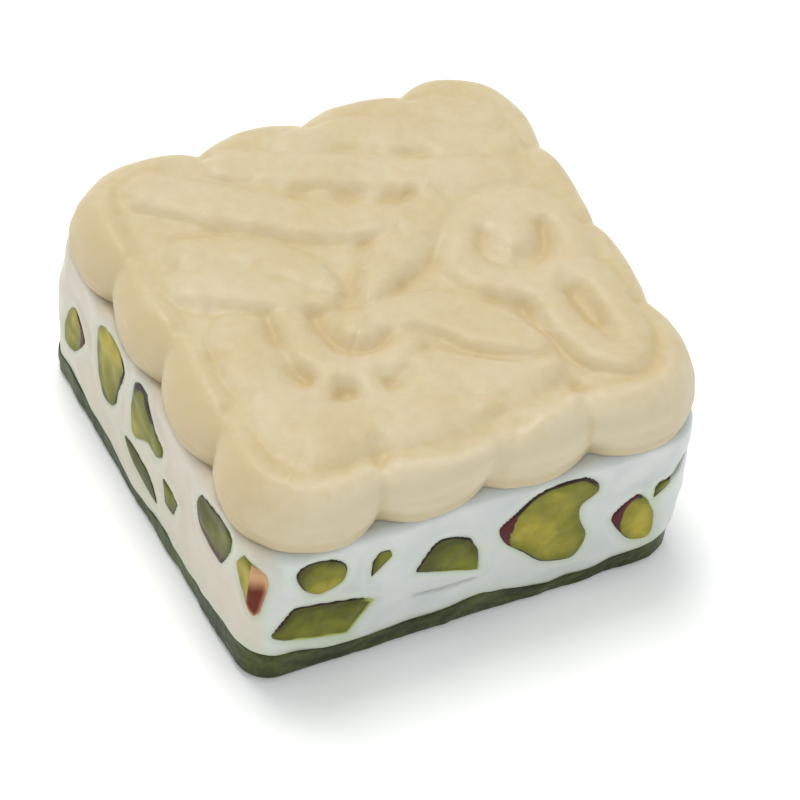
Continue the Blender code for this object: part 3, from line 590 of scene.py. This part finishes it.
def buildCreamTop(finish):
    squares = creamTop["squares"]
    deselectAll()
    bpy.ops.mesh.primitive_grid_add(x_subdivisions=squares, y_subdivisions=squares, size=2)
    top = bpy.context.object
    top.name = "creamTop"
    points = readPoints(top)
    size = np.maximum(np.maximum(np.abs(points[:, 0]), np.abs(points[:, 1])), 1e-9)
    place = placeAround(points[:, 0] / size, points[:, 1] / size)

    topEnd, rimEnd, rounding = (creamTop[name] for name in ("topEnd", "rimEnd", "rimRounding"))
    turn = np.clip((size - topEnd) / (rimEnd - topEnd), 0, 1) * math.pi / 2
    down = np.clip((size - rimEnd) / (1 - rimEnd), 0, 1)
    drop = rounding * (1 - np.cos(turn)) + creamTop["wallHeight"] * down
    inset = rounding * (1 - np.sin(turn))
    inset -= creamTop["wallSwell"] * np.sin(math.pi * np.clip(down / creamTop["footFrom"], 0, 1))
    footShare = np.clip((down - creamTop["footFrom"]) / (1 - creamTop["footFrom"]), 0, 1)
    inset += creamTop["footRounding"] * (1 - np.sqrt(1 - footShare ** 2))
    x, y, outX, outY = lobedWall(place, relief["crest"] - drop)
    inward = np.clip(size / topEnd, 0, 1)
    x, y = (x - outX * inset) * inward, (y - outY * inset) * inward

    order = np.lexsort((points[:, 0].round(6), points[:, 1].round(6)))
    grid = topHeight(x, y)[order].reshape(squares + 1, squares + 1) - relief["crest"]
    grid = blurred(grid, creamTop["softening"])
    hollowShade = blurred(grid.copy(), creamTop["hollowPasses"]) - grid
    raised, hollowShades = np.empty(len(x)), np.empty(len(x))
    raised[order], hollowShades[order] = grid.ravel(), hollowShade.ravel()
    height = relief["crest"] - drop + raised * (1 - smoothStep(turn / math.pi * 2))
    points = np.stack([x, y, height], axis=1)
    push = sum(unevenness(points, length, wave, length) for length, wave in creamTop["waves"])
    points += np.stack([outX * np.sin(turn), outY * np.sin(turn), np.cos(turn)], axis=1) * push[:, None]
    writePoints(top, points * mm)

    editMode(True)
    bpy.ops.mesh.select_mode(type="EDGE")
    bpy.ops.mesh.select_all(action="DESELECT")
    bpy.ops.mesh.select_non_manifold()
    bpy.ops.mesh.edge_face_add()
    bpy.ops.mesh.select_all(action="SELECT")
    bpy.ops.mesh.normals_make_consistent(inside=False)
    editMode(False)

    # painted shade, stronger the deeper a point lies below its blurred surroundings
    keepValues(top, "hollowShade", np.clip(hollowShades / creamTop["hollowDepth"], 0, 1))
    keepValues(top, "foot", creamTop["footShade"] * smoothStep(down * 2.2 - 0.1))
    # painted light and shade by side: the left wall warmer and darker, the front wall paler
    paintedWallLight = creamTop["leftWallShade"] * np.clip(-outX, 0, 1) ** 3
    paintedWallLight -= creamTop["frontWallLight"] * np.clip(-outY, 0, 1)
    keepValues(top, "warmthAndWallLight", creamTop["warmthAndWallLight"] + np.sin(turn) * paintedWallLight)
    finishPiece(top, finish, "cream_top", "moulded_top")
    print("cream top done,", len(top.data.polygons), "faces")


# ---- pistachio pieces: outlines of the cut faces, about their middles

nutForms = {
    "oval": ((-2.4, 1.0), (-1.7, 2.2), (0.4, 2.1), (1.9, 1.0), (2.3, -0.3), (1.9, -1.6),
             (0.0, -2.2), (-1.5, -1.1)),
    "slab": ((-4.6, -1.2), (-4.0, 0.9), (-3.1, 2.5), (-1.7, 2.4), (2.9, 1.2), (4.6, 0.2),
             (3.6, -1.6), (2.4, -3.6), (-1.4, -2.6)),
    "wedge": ((-0.7, -1.9), (-0.8, 0.3), (-0.3, 1.4), (0.7, 1.2), (0.9, 0.2), (0.1, -0.9)),
    "half": ((-3.3, -0.6), (-2.2, 2.2), (-1.5, 2.8), (-0.2, 2.7), (1.4, 1.8), (2.4, -0.2),
             (2.8, -3.0), (-0.2, -2.0)),
    "mitten": ((-4.7, 1.2), (-3.5, 2.7), (-2.1, 4.2), (-0.5, 4.9), (1.3, 5.0), (2.8, 4.7),
               (4.1, 3.4), (4.3, 2.0), (3.0, 0.9), (3.2, -0.9), (4.1, -3.1), (3.9, -4.8),
               (2.9, -6.0), (0.0, -5.1), (-1.9, -3.1), (-3.9, -1.0)),
    "drop": ((-2.5, 0.9), (-1.6, 2.4), (-0.3, 3.2), (0.9, 2.1), (1.8, -0.4), (1.9, -2.7),
             (1.2, -3.3), (-0.3, -2.8), (-1.5, -1.2)),
    "leaf": ((-3.3, 0.0), (-2.5, 1.5), (0.7, 2.4), (2.2, 2.5), (3.1, 2.0), (3.0, 0.4),
             (1.4, -2.8), (-2.0, -2.7), (-3.0, -1.9)),
    "moon": ((-2.4, 2.4), (-1.2, 3.9), (0.4, 4.2), (1.9, 3.8), (2.8, 2.3), (1.9, -1.0),
             (1.4, -3.1), (0.1, -4.4), (-1.4, -4.2), (-2.4, -1.0)),
    "boot": ((-2.8, 1.9), (-1.7, 3.0), (-0.3, 3.0), (0.1, 2.0), (1.4, 0.3), (2.8, -0.3),
             (2.7, -1.6), (1.6, -2.7), (0.1, -2.6), (-2.2, -4.4), (-3.1, -4.0), (-3.3, -1.0)),
    "sliver": ((-3.3, 0.6), (-2.0, 1.1), (1.5, 0.9), (3.2, -0.9), (1.7, -1.2), (-1.5, -0.7)),
    "chip": ((-1.4, 1.0), (0.3, 1.1), (1.4, 0.7), (0.7, -1.4), (-0.9, -1.3)),
    "facets": ((-1.8, 0.9), (-0.8, 3.0), (-0.1, 2.2), (1.4, 1.8), (1.8, 0.5), (1.4, -2.7),
               (0.7, -3.5), (-0.1, -2.4), (-1.1, -1.0)),
}

# Each piece has its form, whether that is turned over, a mean tone from dark to yellow, the way the
# tone lightens in degrees and by how much, and bands along its edge: from, to in degrees, width.
# Skin shows only outside the oval of flesh: its middle and half sizes, along the face and up
dropSkin = {"flesh": (0.35, 0.3, 1.85, 2.9), "skin": ((95, 262, 3.0),)}
turnedDropSkin = {"flesh": (-0.35, 0.3, 1.85, 2.9), "skin": ((-82, 85, 3.0),)}
nutLooks = {
    "front_01": {"form": "oval", "tone": 0.4, "lightens": (-70, 0.4), "rim": ((-10, 225, 0.35),)},
    "front_02": {"form": "slab", "tone": 0.12, "lightens": (-100, 0.3), "rim": ((15, 185, 0.4),),
                 "paleHighlight": ((-150, 10, 0.55),)},
    "front_03": {"form": "wedge", "tone": 0.35, "lightens": (0, 0.3), "rim": ((60, 260, 0.3),)},
    "front_04": {"form": "half", "tone": 0.15, "lightens": (-80, 0.35), "rim": ((30, 200, 0.4),),
                 "paleHighlight": ((-150, -30, 0.35),)},
    "front_05": {"form": "mitten", "tone": 0.5, "lightens": (205, 0.15),
                 "rim": ((35, 165, 0.6), (215, 300, 0.4)),
                 "flesh": (0.2, 0.2, 3.8, 3.9), "skin": ((145, 250, 3.0),)},
    "front_06": {"form": "drop", "tone": 0.6, "lightens": (-30, 0.2), "rim": ((85, 130, 0.7),), **dropSkin},
    "front_07": {"form": "wedge", "tone": 0.3, "lightens": (0, 0.3), "rim": ((-60, 180, 0.25),),
                 "shift": (-0.7, 0.4)},
    "front_corner_08": {"form": "facets", "tone": 0.7, "lightens": (180, 0.3), "brownFrom": 0.0},
    "left_09": {"form": "leaf", "tone": 0.05, "lightens": (0, 0.2), "skin": ((190, 305, 1.1),),
                "rim": ((290, 330, 0.5), (100, 170, 0.3))},
    "left_10": {"form": "moon", "tone": 0.5, "lightens": (90, 0.4), "rim": ((-70, 60, 0.4),)},
    "left_11": {"form": "boot", "tone": 0.3, "lightens": (-110, 0.4), "rim": ((30, 160, 0.9),)},
    "left_12": {"form": "sliver", "tone": 0.0, "lightens": (180, 0.1),
                "rim": ((-60, 30, 0.3), (60, 130, 0.3))},
    "left_13": {"form": "chip", "tone": 0.25, "lightens": (90, 0.15)},
    "left_14": {"form": "drop", "turned": (-1, 1), "tone": 0.5, "lightens": (90, 0.2), **turnedDropSkin},
    "right_15": {"form": "half", "turned": (-1, 1), "tone": 0.3, "lightens": (-90, 0.4),
                 "rim": ((0, 150, 0.35),)},
    "right_16": {"form": "sliver", "turned": (-1, 1), "tone": 0.3, "lightens": (0, 0.2)},
    "right_17": {"form": "oval", "turned": (1, -1), "tone": 0.6, "lightens": (90, 0.2),
                 "flesh": (0.6, 0.4, 2.0, 2.2), "skin": ((150, 270, 3.0),)},
    "right_18": {"form": "leaf", "tone": 0.5, "lightens": (40, 0.4), "rim": ((60, 190, 0.4),),
                 "flesh": (0.5, 0.7, 3.2, 3.0), "skin": ((170, 290, 3.0),)},
    "right_19": {"form": "chip", "tone": 0.2, "lightens": (0, 0.2)},
    "right_20": {"form": "wedge", "tone": 0.5, "lightens": (0, 0.2), "rim": ((80, 250, 0.3),)},
    "right_21": {"form": "drop", "turned": (-1, 1), "tone": 0.55, "lightens": (180, 0.2), **turnedDropSkin},
    "back_22": {"form": "slab", "turned": (-1, 1), "tone": 0.35, "lightens": (-90, 0.4),
                "rim": ((0, 170, 0.35),), "paleHighlight": ((-150, -20, 0.5),)},
    "back_23": {"form": "drop", "tone": 0.6, "lightens": (-90, 0.2), **dropSkin},
    "back_24": {"form": "chip", "turned": (-1, 1), "tone": 0.3, "lightens": (90, 0.2)},
    "back_25": {"form": "moon", "turned": (-1, 1), "tone": 0.5, "lightens": (70, 0.3),
                "flesh": (-0.5, 0.2, 2.5, 4.2), "skin": ((-80, 50, 3.0),)},
    "back_26": {"form": "oval", "turned": (-1, 1), "tone": 0.5, "lightens": (-60, 0.3),
                "rim": ((60, 200, 0.4),)},
    "back_27": {"form": "sliver", "tone": 0.2, "lightens": (0, 0.2)},
    "back_28": {"form": "wedge", "tone": 0.55, "lightens": (0, 0.3), "rim": ((60, 260, 0.35),)},
}
faceTurns = {"front": 0, "right": 90, "back": 180, "left": -90, "front_corner": -45}   # degrees about Z

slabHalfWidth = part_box("nougat")[1].x / mm
slab = {
    "headHalf": slabHalfWidth,
    "footHalf": slabHalfWidth - 0.6,
    "corner": 3.1,
    "headCorner": 4.6,        # the corners get rounder from half the height up
    "foot": 2.5,
    "top": 16.0,
    "topRounding": 0.9,
    "topInset": 4.5,          # of the last row, which lies flat under the cream
    "around": 720,            # points round it
    "rows": 56,
    "roundRows": 9,           # of them over the rounding of the top edge
}

# Waves of the boundary between green and white: x, y, radius, rise
boundary = {
    "height": 2.5,
    "swells": (
        (-19.5, -18.0, 6.0, 1.3), (1.0, -20.0, 2.5, 0.8), (9.0, -20.0, 4.0, -0.9),
        (19.5, -19.5, 2.5, 1.0), (-20.0, 3.0, 4.0, -0.6), (-20.0, 16.0, 4.0, 0.4),
        (20.0, 5.0, 4.0, 0.7), (20.0, -7.0, 4.0, -0.6), (6.0, 20.0, 4.0, 0.6),
        (-8.0, 20.0, 5.0, -0.6), (19.0, 19.0, 4.0, 0.5),
    ),
    "ripple": (1.7, 0.16),    # length and depth
}


def boundaryHeight(x, y):
    height = np.full(np.shape(x), boundary["height"])
    for centreX, centreY, radius, rise in boundary["swells"]:
        height += rise * mound(x, y, centreX, centreY, radius)
    length, depth = boundary["ripple"]
    ripple = [noise.noise(Vector((a / length, b / length, 3.0))) for a, b in zip(x, y)]
    return height + depth * np.array(ripple)


def slabHalf(height):
    share = (height - slab["foot"]) / (slab["top"] - slab["foot"])
    return slab["footHalf"] + (slab["headHalf"] - slab["footHalf"]) * share


def slabCorner(height):
    share = np.clip(2 * height / slab["top"] - 1, 0, 1)
    return slab["corner"] + (slab["headCorner"] - slab["corner"]) * share


def aroundSquare(share, half, corner):
    # points and outward directions at shares of the way round a square with round corners
    quarter = np.floor(share * 4)
    straight = 2 * (half - corner)
    travelled = (share * 4 - quarter) * (straight + corner * math.pi / 2)
    angle = np.clip((travelled - straight) / corner, 0, None)
    x = np.where(travelled < straight, travelled - straight / 2, half - corner + corner * np.sin(angle))
    y = np.where(travelled < straight, -half, corner - half - corner * np.cos(angle))
    return quarterTurned(quarter, x, y, np.sin(angle), -np.cos(angle))


def faceDistance(turn, along, up):
    # distance of the slab's surface from its axis, out through that point of a face
    half, corner = slabHalf(up), slabCorner(up)
    if turn % 90:
        arc = (half - corner) * math.sqrt(2) + np.sqrt(np.clip(corner ** 2 - along ** 2, 0, None))
        return np.where(np.abs(along) < corner / math.sqrt(2), arc, half * math.sqrt(2) - np.abs(along))
    beyond = np.clip(np.abs(along) - half + corner, 0, corner)
    return half - corner + np.sqrt(corner ** 2 - beyond ** 2)


class Nut:
    # where one piece lies on its face, and its outline there
    def __init__(self, name):
        look = nutLooks[name]
        low, high = (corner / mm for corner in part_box("pistachio_" + name))
        self.name, self.look = name, look
        self.turn = faceTurns[name.rpartition("_")[0]]
        radians = math.radians(self.turn)
        self.alongWay = np.array([math.cos(radians), math.sin(radians), 0.0])
        self.outWay = np.array([math.sin(radians), -math.cos(radians), 0.0])
        turned = look.get("turned", (1, 1))
        form = np.array(nutForms[look["form"]]) * turned
        corners = [(x, y, 0.0) @ self.alongWay for x in (low.x, high.x) for y in (low.y, high.y)]
        span = form.max(axis=0) - form.min(axis=0)
        middle = (form.max(axis=0) + form.min(axis=0)) / 2
        shift = look.get("shift", (0, 0))
        if self.turn % 90:
            self.along, scaleAlong = nutBody["cornerAlong"], 1.0
        else:
            scaleAlong = (max(corners) - min(corners) + 2 * nutBody["grown"]) / span[0]
            self.along = (max(corners) + min(corners)) / 2 - scaleAlong * middle[0] + shift[0]
        scaleUp = (high.z - low.z + 2 * nutBody["grown"]) / span[1]
        self.up = (high.z + low.z) / 2 - scaleUp * middle[1] + shift[1]
        slack = nutBody["sharpSlack"] if look["form"] in nutBody["sharp"] else nutBody["slack"]
        path = smoothPath(form * (scaleAlong, scaleUp), 12, closed=True, slack=slack)
        if turned[0] * turned[1] < 0:
            path = path[::-1]
        steps = np.hypot(*(np.roll(path, -1, axis=0) - path).T)
        travelled = np.concatenate([[0], np.cumsum(steps)])
        path = np.vstack([path, path[0]])
        shares = np.linspace(0, travelled[-1], nutBody["around"] + 1)
        self.outline = np.stack([np.interp(shares, travelled, path[:, k]) for k in (0, 1)], axis=1)

    def depthInside(self, along, up):
        # distance from the outline, above 0 inside it
        nearest, crossings = np.full(along.shape, 99.0), np.zeros(along.shape, dtype=int)
        for start, end in zip(self.outline[:-1], self.outline[1:]):
            run = end - start
            if run @ run == 0:
                continue
            nearest = np.minimum(nearest, shareAndDistance(along, up, start, run)[1])
            if run[1]:
                crossed = (start[1] > up) != (end[1] > up)
                crossings += crossed & (along < start[0] + (up - start[1]) * run[0] / run[1])
        return np.where(crossings % 2 == 1, nearest, -nearest)


nutBody = {
    "around": 120, "rings": 30,
    "sharp": ("slab", "half", "facets", "wedge", "boot", "leaf", "chip"),      # broken kernels
    "sharpSlack": 0.4,
    "slack": 0.9,
    "cornerAlong": -1.2,      # place of the piece on the slab's corner
    "grown": 0.2,             # how far the outline reaches under the nougat's lip
    "sunkEdge": 0.2,          # how far the edge lies under the nougat's surface
    "edgeRounding": 0.35,
    "proud": 0.05,
    "depth": 1.6,
    "dome": 0.12,
    "domeReach": 2.5,         # from the edge to where the dome is full
    "waves": (1.7, 0.16),
    "ridge": (0.2, 0.9, 0.35),        # of the brown piece: place along, half width, rise
    "lighterMiddle": (0.3, 1.4),      # how much, and how far from the edge
    "fleshEdge": 0.25,                # width of the soft edge between flesh and skin
}


def bandShare(angles, depths, bands):
    # 1 along the edge within the bands, fading over their width and ends
    share = np.zeros(angles.shape)
    for start, end, width in bands:
        middle, reach = (start + end) / 2, (end - start) / 2
        away = np.abs((angles - middle + 180) % 360 - 180)
        ends = smoothStep((reach + 12 - away) / 24) if reach < 170 else 1.0
        share = np.maximum(share, ends * smoothStep(1.5 - depths / width))
    return share


def buildNut(nut, finish):
    deselectAll()
    bpy.ops.mesh.primitive_uv_sphere_add(segments=nutBody["around"], ring_count=nutBody["rings"], radius=1)
    kernel = bpy.context.object
    kernel.name = nut.name + "_kernel"
    ball = readPoints(kernel)
    out = np.clip(ball[:, 2], -1, 1)
    shrink = np.sqrt(1 - out ** 2)
    shrink = np.where(out >= 0, shrink, shrink ** 0.6)
    turnShare = np.arctan2(ball[:, 1], ball[:, 0]) / (2 * math.pi) % 1
    places = np.linspace(0, 1, len(nut.outline))
    along = np.interp(turnShare, places, nut.outline[:, 0]) * shrink
    up = np.interp(turnShare, places, nut.outline[:, 1]) * shrink
    depth = np.abs(nut.depthInside(along, up))

    proud = nutBody["proud"] - nutBody["sunkEdge"] * (1 - smoothStep(depth / nutBody["edgeRounding"]))
    proud += nutBody["dome"] * smoothStep(depth / nutBody["domeReach"])
    length, wave = nutBody["waves"]
    flat = np.stack([along, up, np.full(len(up), nut.up + nut.along)], axis=1)
    proud += unevenness(flat, length, wave) * smoothStep(depth / 0.6)
    outside = out >= -1e-6
    inward = np.where(outside, 0, nutBody["depth"] * -out)
    lift = np.where(outside, proud, nutBody["proud"] - nutBody["sunkEdge"] - inward)
    distance = faceDistance(nut.turn, nut.along + along, nut.up + up) + lift
    if "brownFrom" in nut.look:
        ridge, halfWidth, rise = nutBody["ridge"]
        distance += np.where(outside, rise * smoothStep(1 - np.abs(along - ridge) / halfWidth), 0)
    points = np.outer(nut.along + along, nut.alongWay) + np.outer(distance, nut.outWay)
    points[:, 2] = nut.up + up
    writePoints(kernel, points * mm)

    angles = np.degrees(np.arctan2(up, along))
    way = math.radians(nut.look["lightens"][0])
    reach = max(np.abs(nut.outline).max(), 1.0)
    tone = nut.look["tone"] + nut.look["lightens"][1] * (along * math.cos(way) + up * math.sin(way)) / reach
    lighter, reach = nutBody["lighterMiddle"]
    keepValues(kernel, "tone", tone + lighter * (smoothStep(depth / reach) - 0.5))
    for band in ("skin", "rim", "paleHighlight"):
        share = bandShare(angles, depth, nut.look.get(band, ()))
        if band == "skin" and "flesh" in nut.look:
            middleAlong, middleUp, halfAlong, halfUp = nut.look["flesh"]
            away = np.hypot((along - middleAlong) / halfAlong, (up - middleUp) / halfUp)
            share *= smoothStep((away - 1) * halfAlong / nutBody["fleshEdge"] + 0.5)
        keepValues(kernel, band, share)
    brown = smoothStep((along - nut.look.get("brownFrom", 99.0)) / 0.3 + 0.5)
    keepValues(kernel, "brown", brown)
    edgeLight = smoothStep(1.3 - depth / 0.45)
    keepValues(kernel, "tanShare", np.clip(smoothStep((up + 0.5) / 1.8) + edgeLight * 0.8, 0, 1))
    finishPiece(kernel, finish, "pistachio", "pistachio_" + nut.name)


# ---- the white slab

def addDrum(name, around, rows):
    # closed drum, with the share of the way round and the row of each of its points
    deselectAll()
    bpy.ops.mesh.primitive_cylinder_add(vertices=around, radius=1, depth=1, end_fill_type="NGON")
    drum = bpy.context.object
    drum.name = name
    editMode(True)
    bpy.ops.mesh.select_all(action="DESELECT")
    editMode(False)
    ends = readPoints(drum)
    for edge in drum.data.edges:
        first, second = edge.vertices
        edge.select = abs(ends[first][2] - ends[second][2]) > 0.5
    editMode(True)
    bpy.ops.mesh.subdivide(number_cuts=rows - 1)
    editMode(False)
    points = readPoints(drum)
    share = (np.arctan2(points[:, 1], points[:, 0]) / (2 * math.pi) + 0.375) % 1     # from the front left
    return drum, share, np.rint((points[:, 2] + 0.5) * rows).astype(int)


nougatSkin = {
    "waves": ((6.0, 0.35), (2.2, 0.14)),
    "wavesFrom": 1.2,         # distance from a kernel's edge at which they are full
    "recess": 0.9,            # how deep the slab lies under a kernel
    "recessFrom": 0.22,       # distance inside its edge where that starts, and the way down
    "recessSlope": 0.5,
    "lip": (0.1, 0.55, 0.45),         # rise, distance outside a kernel's edge, width
    # dark threads and creases of the front face: along and up, half widths, how dark, how deep
    "threads": (
        (((-5.6, 5.9), (-2.5, 5.5), (0.2, 5.4)), (0.15, 0.25, 0.15), 0.45, 0.15),
        (((17.6, 11.0), (18.3, 12.0), (19.0, 12.8)), (0.35, 0.4, 0.25), 0.95, 0.15),
    ),
    "tuck": ((-0.35, 1.4), (-0.2, 0.5), (-0.04, 0.12)),     # lift over the boundary, inset
    "footTint": (0.8, 0.9),           # share of green over the boundary, and how far up it goes
    "kernelTint": (0.6, 0.7),
    # share of painted warm shade on the left side
    "leftShade": 0.95,
}


def buildNougat(nuts, finish):
    body, share, row = addDrum("whiteNougat", slab["around"], slab["rows"])
    footX, footY, _, _ = aroundSquare(share, slab["footHalf"], slab["corner"])
    edgeHeight = boundaryHeight(footX, footY)
    tuck, roundRows = nougatSkin["tuck"], slab["roundRows"]
    wallTop = slab["top"] - slab["topRounding"]
    lastWall = slab["rows"] - roundRows - 1
    climb = np.clip((row - len(tuck)) / (lastWall - len(tuck)), 0, 1)
    height = edgeHeight + (wallTop - edgeHeight) * climb
    inset = np.zeros(len(row))
    for k, (lift, tucked) in enumerate(tuck):
        height[row == k] += lift
        inset[row == k] = tucked
    roundTurn = np.clip((row - lastWall) / roundRows, 0, 1) * math.pi / 2
    height += slab["topRounding"] * np.sin(roundTurn)
    inset += slab["topRounding"] * (1 - np.cos(roundTurn))
    inset[row == slab["rows"]] = slab["topInset"]
    half = slabHalf(height) - inset
    corner = np.clip(slabCorner(height) - inset, 0.3, None)
    x, y, outX, outY = aroundSquare(share, half, corner)
    points = np.stack([x, y, height], axis=1)

    wall = smoothStep((row - 1) / 2) * (1 - smoothStep((row - slab["rows"] + 2) / 2))
    push = sum(unevenness(points, length, wave, 7.7) for length, wave in nougatSkin["waves"]) * wall
    footTint, tintHeight = nougatSkin["footTint"]
    kernelTint, tintReach = nougatSkin["kernelTint"]
    lip, lipAway, lipWidth = nougatSkin["lip"]
    tint = footTint * np.exp(-np.clip(height - edgeHeight, 0, None) / tintHeight)
    for nut in nuts:
        along = points @ nut.alongWay
        near = (np.abs(along - nut.along) < 9) & (points @ nut.outWay > slab["footHalf"] - 2.5)
        near &= np.abs(height - nut.up) < 9
        depth = nut.depthInside(along[near] - nut.along, height[near] - nut.up)
        push[near] *= 1 - smoothStep(1 - np.abs(depth) / nougatSkin["wavesFrom"])
        sunk = smoothStep((depth - nougatSkin["recessFrom"]) / nougatSkin["recessSlope"])
        push[near] -= nougatSkin["recess"] * sunk
        push[near] += lip * np.exp(-((depth + lipAway) / lipWidth) ** 2)
        tint[near] += kernelTint * np.exp(-np.clip(-depth, 0, None) / tintReach)
    front = outY < -0.7
    threads = np.zeros(len(push))
    for path, widths, dark, deep in nougatSkin["threads"]:
        near = np.exp(-distanceInWidths(points[front, 0], height[front], path, widths) ** 2)
        push[front] -= deep * near
        threads[front] = np.maximum(threads[front], dark * near)
    points[:, 0] += outX * push
    points[:, 1] += outY * push
    writePoints(body, points * mm)
    keepValues(body, "tint", np.clip(tint, 0, 1))
    keepValues(body, "thread", threads)
    keepValues(body, "leftShade", nougatSkin["leftShade"] * smoothStep(-(outX + 0.3) / 0.6))      # painted warm shade, left side only
    finishPiece(body, finish, "white_nougat", "nougat")
    print("nougat done,", len(body.data.polygons), "faces")


# ---- the green layer

greenBody = {
    "around": 600, "rows": 16,
    "footHalf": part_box("base_layer")[1].x / mm - 0.2,
    "footInset": 0.35,
    "headInset": 0.25,        # of the edge under the white
    "waves": ((2.4, 0.16), (0.7, 0.07)),
}


def buildGreenLayer(finish):
    layer, share, row = addDrum("greenLayer", greenBody["around"], greenBody["rows"])
    footHalf = greenBody["footHalf"]
    climb = row / greenBody["rows"]
    footX, footY, _, _ = aroundSquare(share, slab["footHalf"], slab["corner"])
    height = boundaryHeight(footX, footY) * climb
    inset = greenBody["footInset"] * (1 - smoothStep(climb * 5))
    inset += greenBody["headInset"] * smoothStep((climb - 0.94) / 0.06)
    half = footHalf + (slab["footHalf"] - footHalf) * climb - inset
    x, y, outX, outY = aroundSquare(share, half, slab["corner"] - inset)
    points = np.stack([x, y, height], axis=1)
    push = sum(unevenness(points, length, wave, 2.1) for length, wave in greenBody["waves"])
    push *= smoothStep(climb * 6) * smoothStep((1 - climb) * 8)
    points[:, 0] += outX * push
    points[:, 1] += outY * push
    writePoints(layer, points * mm)
    finishPiece(layer, finish, "green_layer", "base_layer")
    print("green layer done,", len(layer.data.polygons), "faces")


# ---- floor, light and camera

studio = {
    "floorSize": 3.0,          # metres
    "floor": screenColour(254, 254, 254),
    "floorGlow": 0.13,
    "sky": 0.63,
    "skyColour": (0.97, 1.0, 1.02, 1.0),
    "keyPlace": (-0.05, 0.33, 1.0),
    "keySize": 0.4,
    "keyPower": 5.65,
    "keyColour": (1.0, 0.985, 0.95),
    "fillPlace": (-0.25, -0.8, 0.4),
    "fillSize": 0.6,
    "fillPower": 0.45,
    "fillColour": (1.0, 0.99, 0.96),
}


def buildStudio():
    deselectAll()
    bpy.ops.mesh.primitive_plane_add(size=studio["floorSize"])
    floor = bpy.context.object
    floor.name = "floor"
    floor.data.materials.append(newFinish("pale floor", {
        "Base Color": studio["floor"], "Roughness": 0.9, "Specular IOR Level": 0.1,
        "Emission Color": studio["floor"], "Emission Strength": studio["floorGlow"],
    }))

    world = bpy.data.worlds.new("studio")
    world.use_nodes = True
    world.node_tree.nodes["Background"].inputs["Color"].default_value = studio["skyColour"]
    world.node_tree.nodes["Background"].inputs["Strength"].default_value = studio["sky"]
    bpy.context.scene.world = world

    for name in ("key", "fill"):
        spot = Vector(studio[name + "Place"])
        aim = (Vector((0, 0, 0.01)) - spot).to_track_quat("-Z", "Y").to_euler()
        bpy.ops.object.light_add(type="AREA", location=spot, rotation=aim)
        light = bpy.context.object
        light.name = name + "Light"
        light.data.size = studio[name + "Size"]
        light.data.energy = studio[name + "Power"]
        light.data.color = studio[name + "Colour"]
    bpy.context.scene.view_settings.view_transform = "Standard"


cameraPlan = {
    "azimuth": -33.158, "elevation": 47.399, "roll": 8.724,     # degrees
    "distance": 0.4264, "right": 0.00358, "up": 0.00442,        # metres
    "lens": 225.0, "sensor": 36.0,
}


def buildCamera():
    azimuth = math.radians(cameraPlan["azimuth"])
    elevation = math.radians(cameraPlan["elevation"])
    back = Vector((math.sin(azimuth) * math.cos(elevation), -math.cos(azimuth) * math.cos(elevation),
                   math.sin(elevation)))
    right = Vector((math.cos(azimuth), math.sin(azimuth), 0))
    up = back.cross(right)
    roll = math.radians(cameraPlan["roll"])
    right, up = right * math.cos(roll) + up * math.sin(roll), up * math.cos(roll) - right * math.sin(roll)
    place = right * cameraPlan["right"] + up * cameraPlan["up"] + back * cameraPlan["distance"]
    data = bpy.data.cameras.new("camera")
    data.lens = cameraPlan["lens"]
    data.sensor_width = cameraPlan["sensor"]
    data.clip_start = 0.01
    camera = bpy.data.objects.new("camera", data)
    bpy.context.scene.collection.objects.link(camera)
    camera.matrix_world = Matrix.Translation(place) @ Matrix((right, up, back)).transposed().to_4x4()
    bpy.context.scene.camera = camera


buildStudio()
buildCamera()
print("studio and camera set")
buildCreamTop(creamFinish())
nutPieces = [Nut(name) for name in nutLooks]
kernel = kernelFinish()
for nutPiece in nutPieces:
    buildNut(nutPiece, kernel)
print("kernels done,", len(nutPieces))
buildNougat(nutPieces, nougatFinish())
buildGreenLayer(greenFinish())
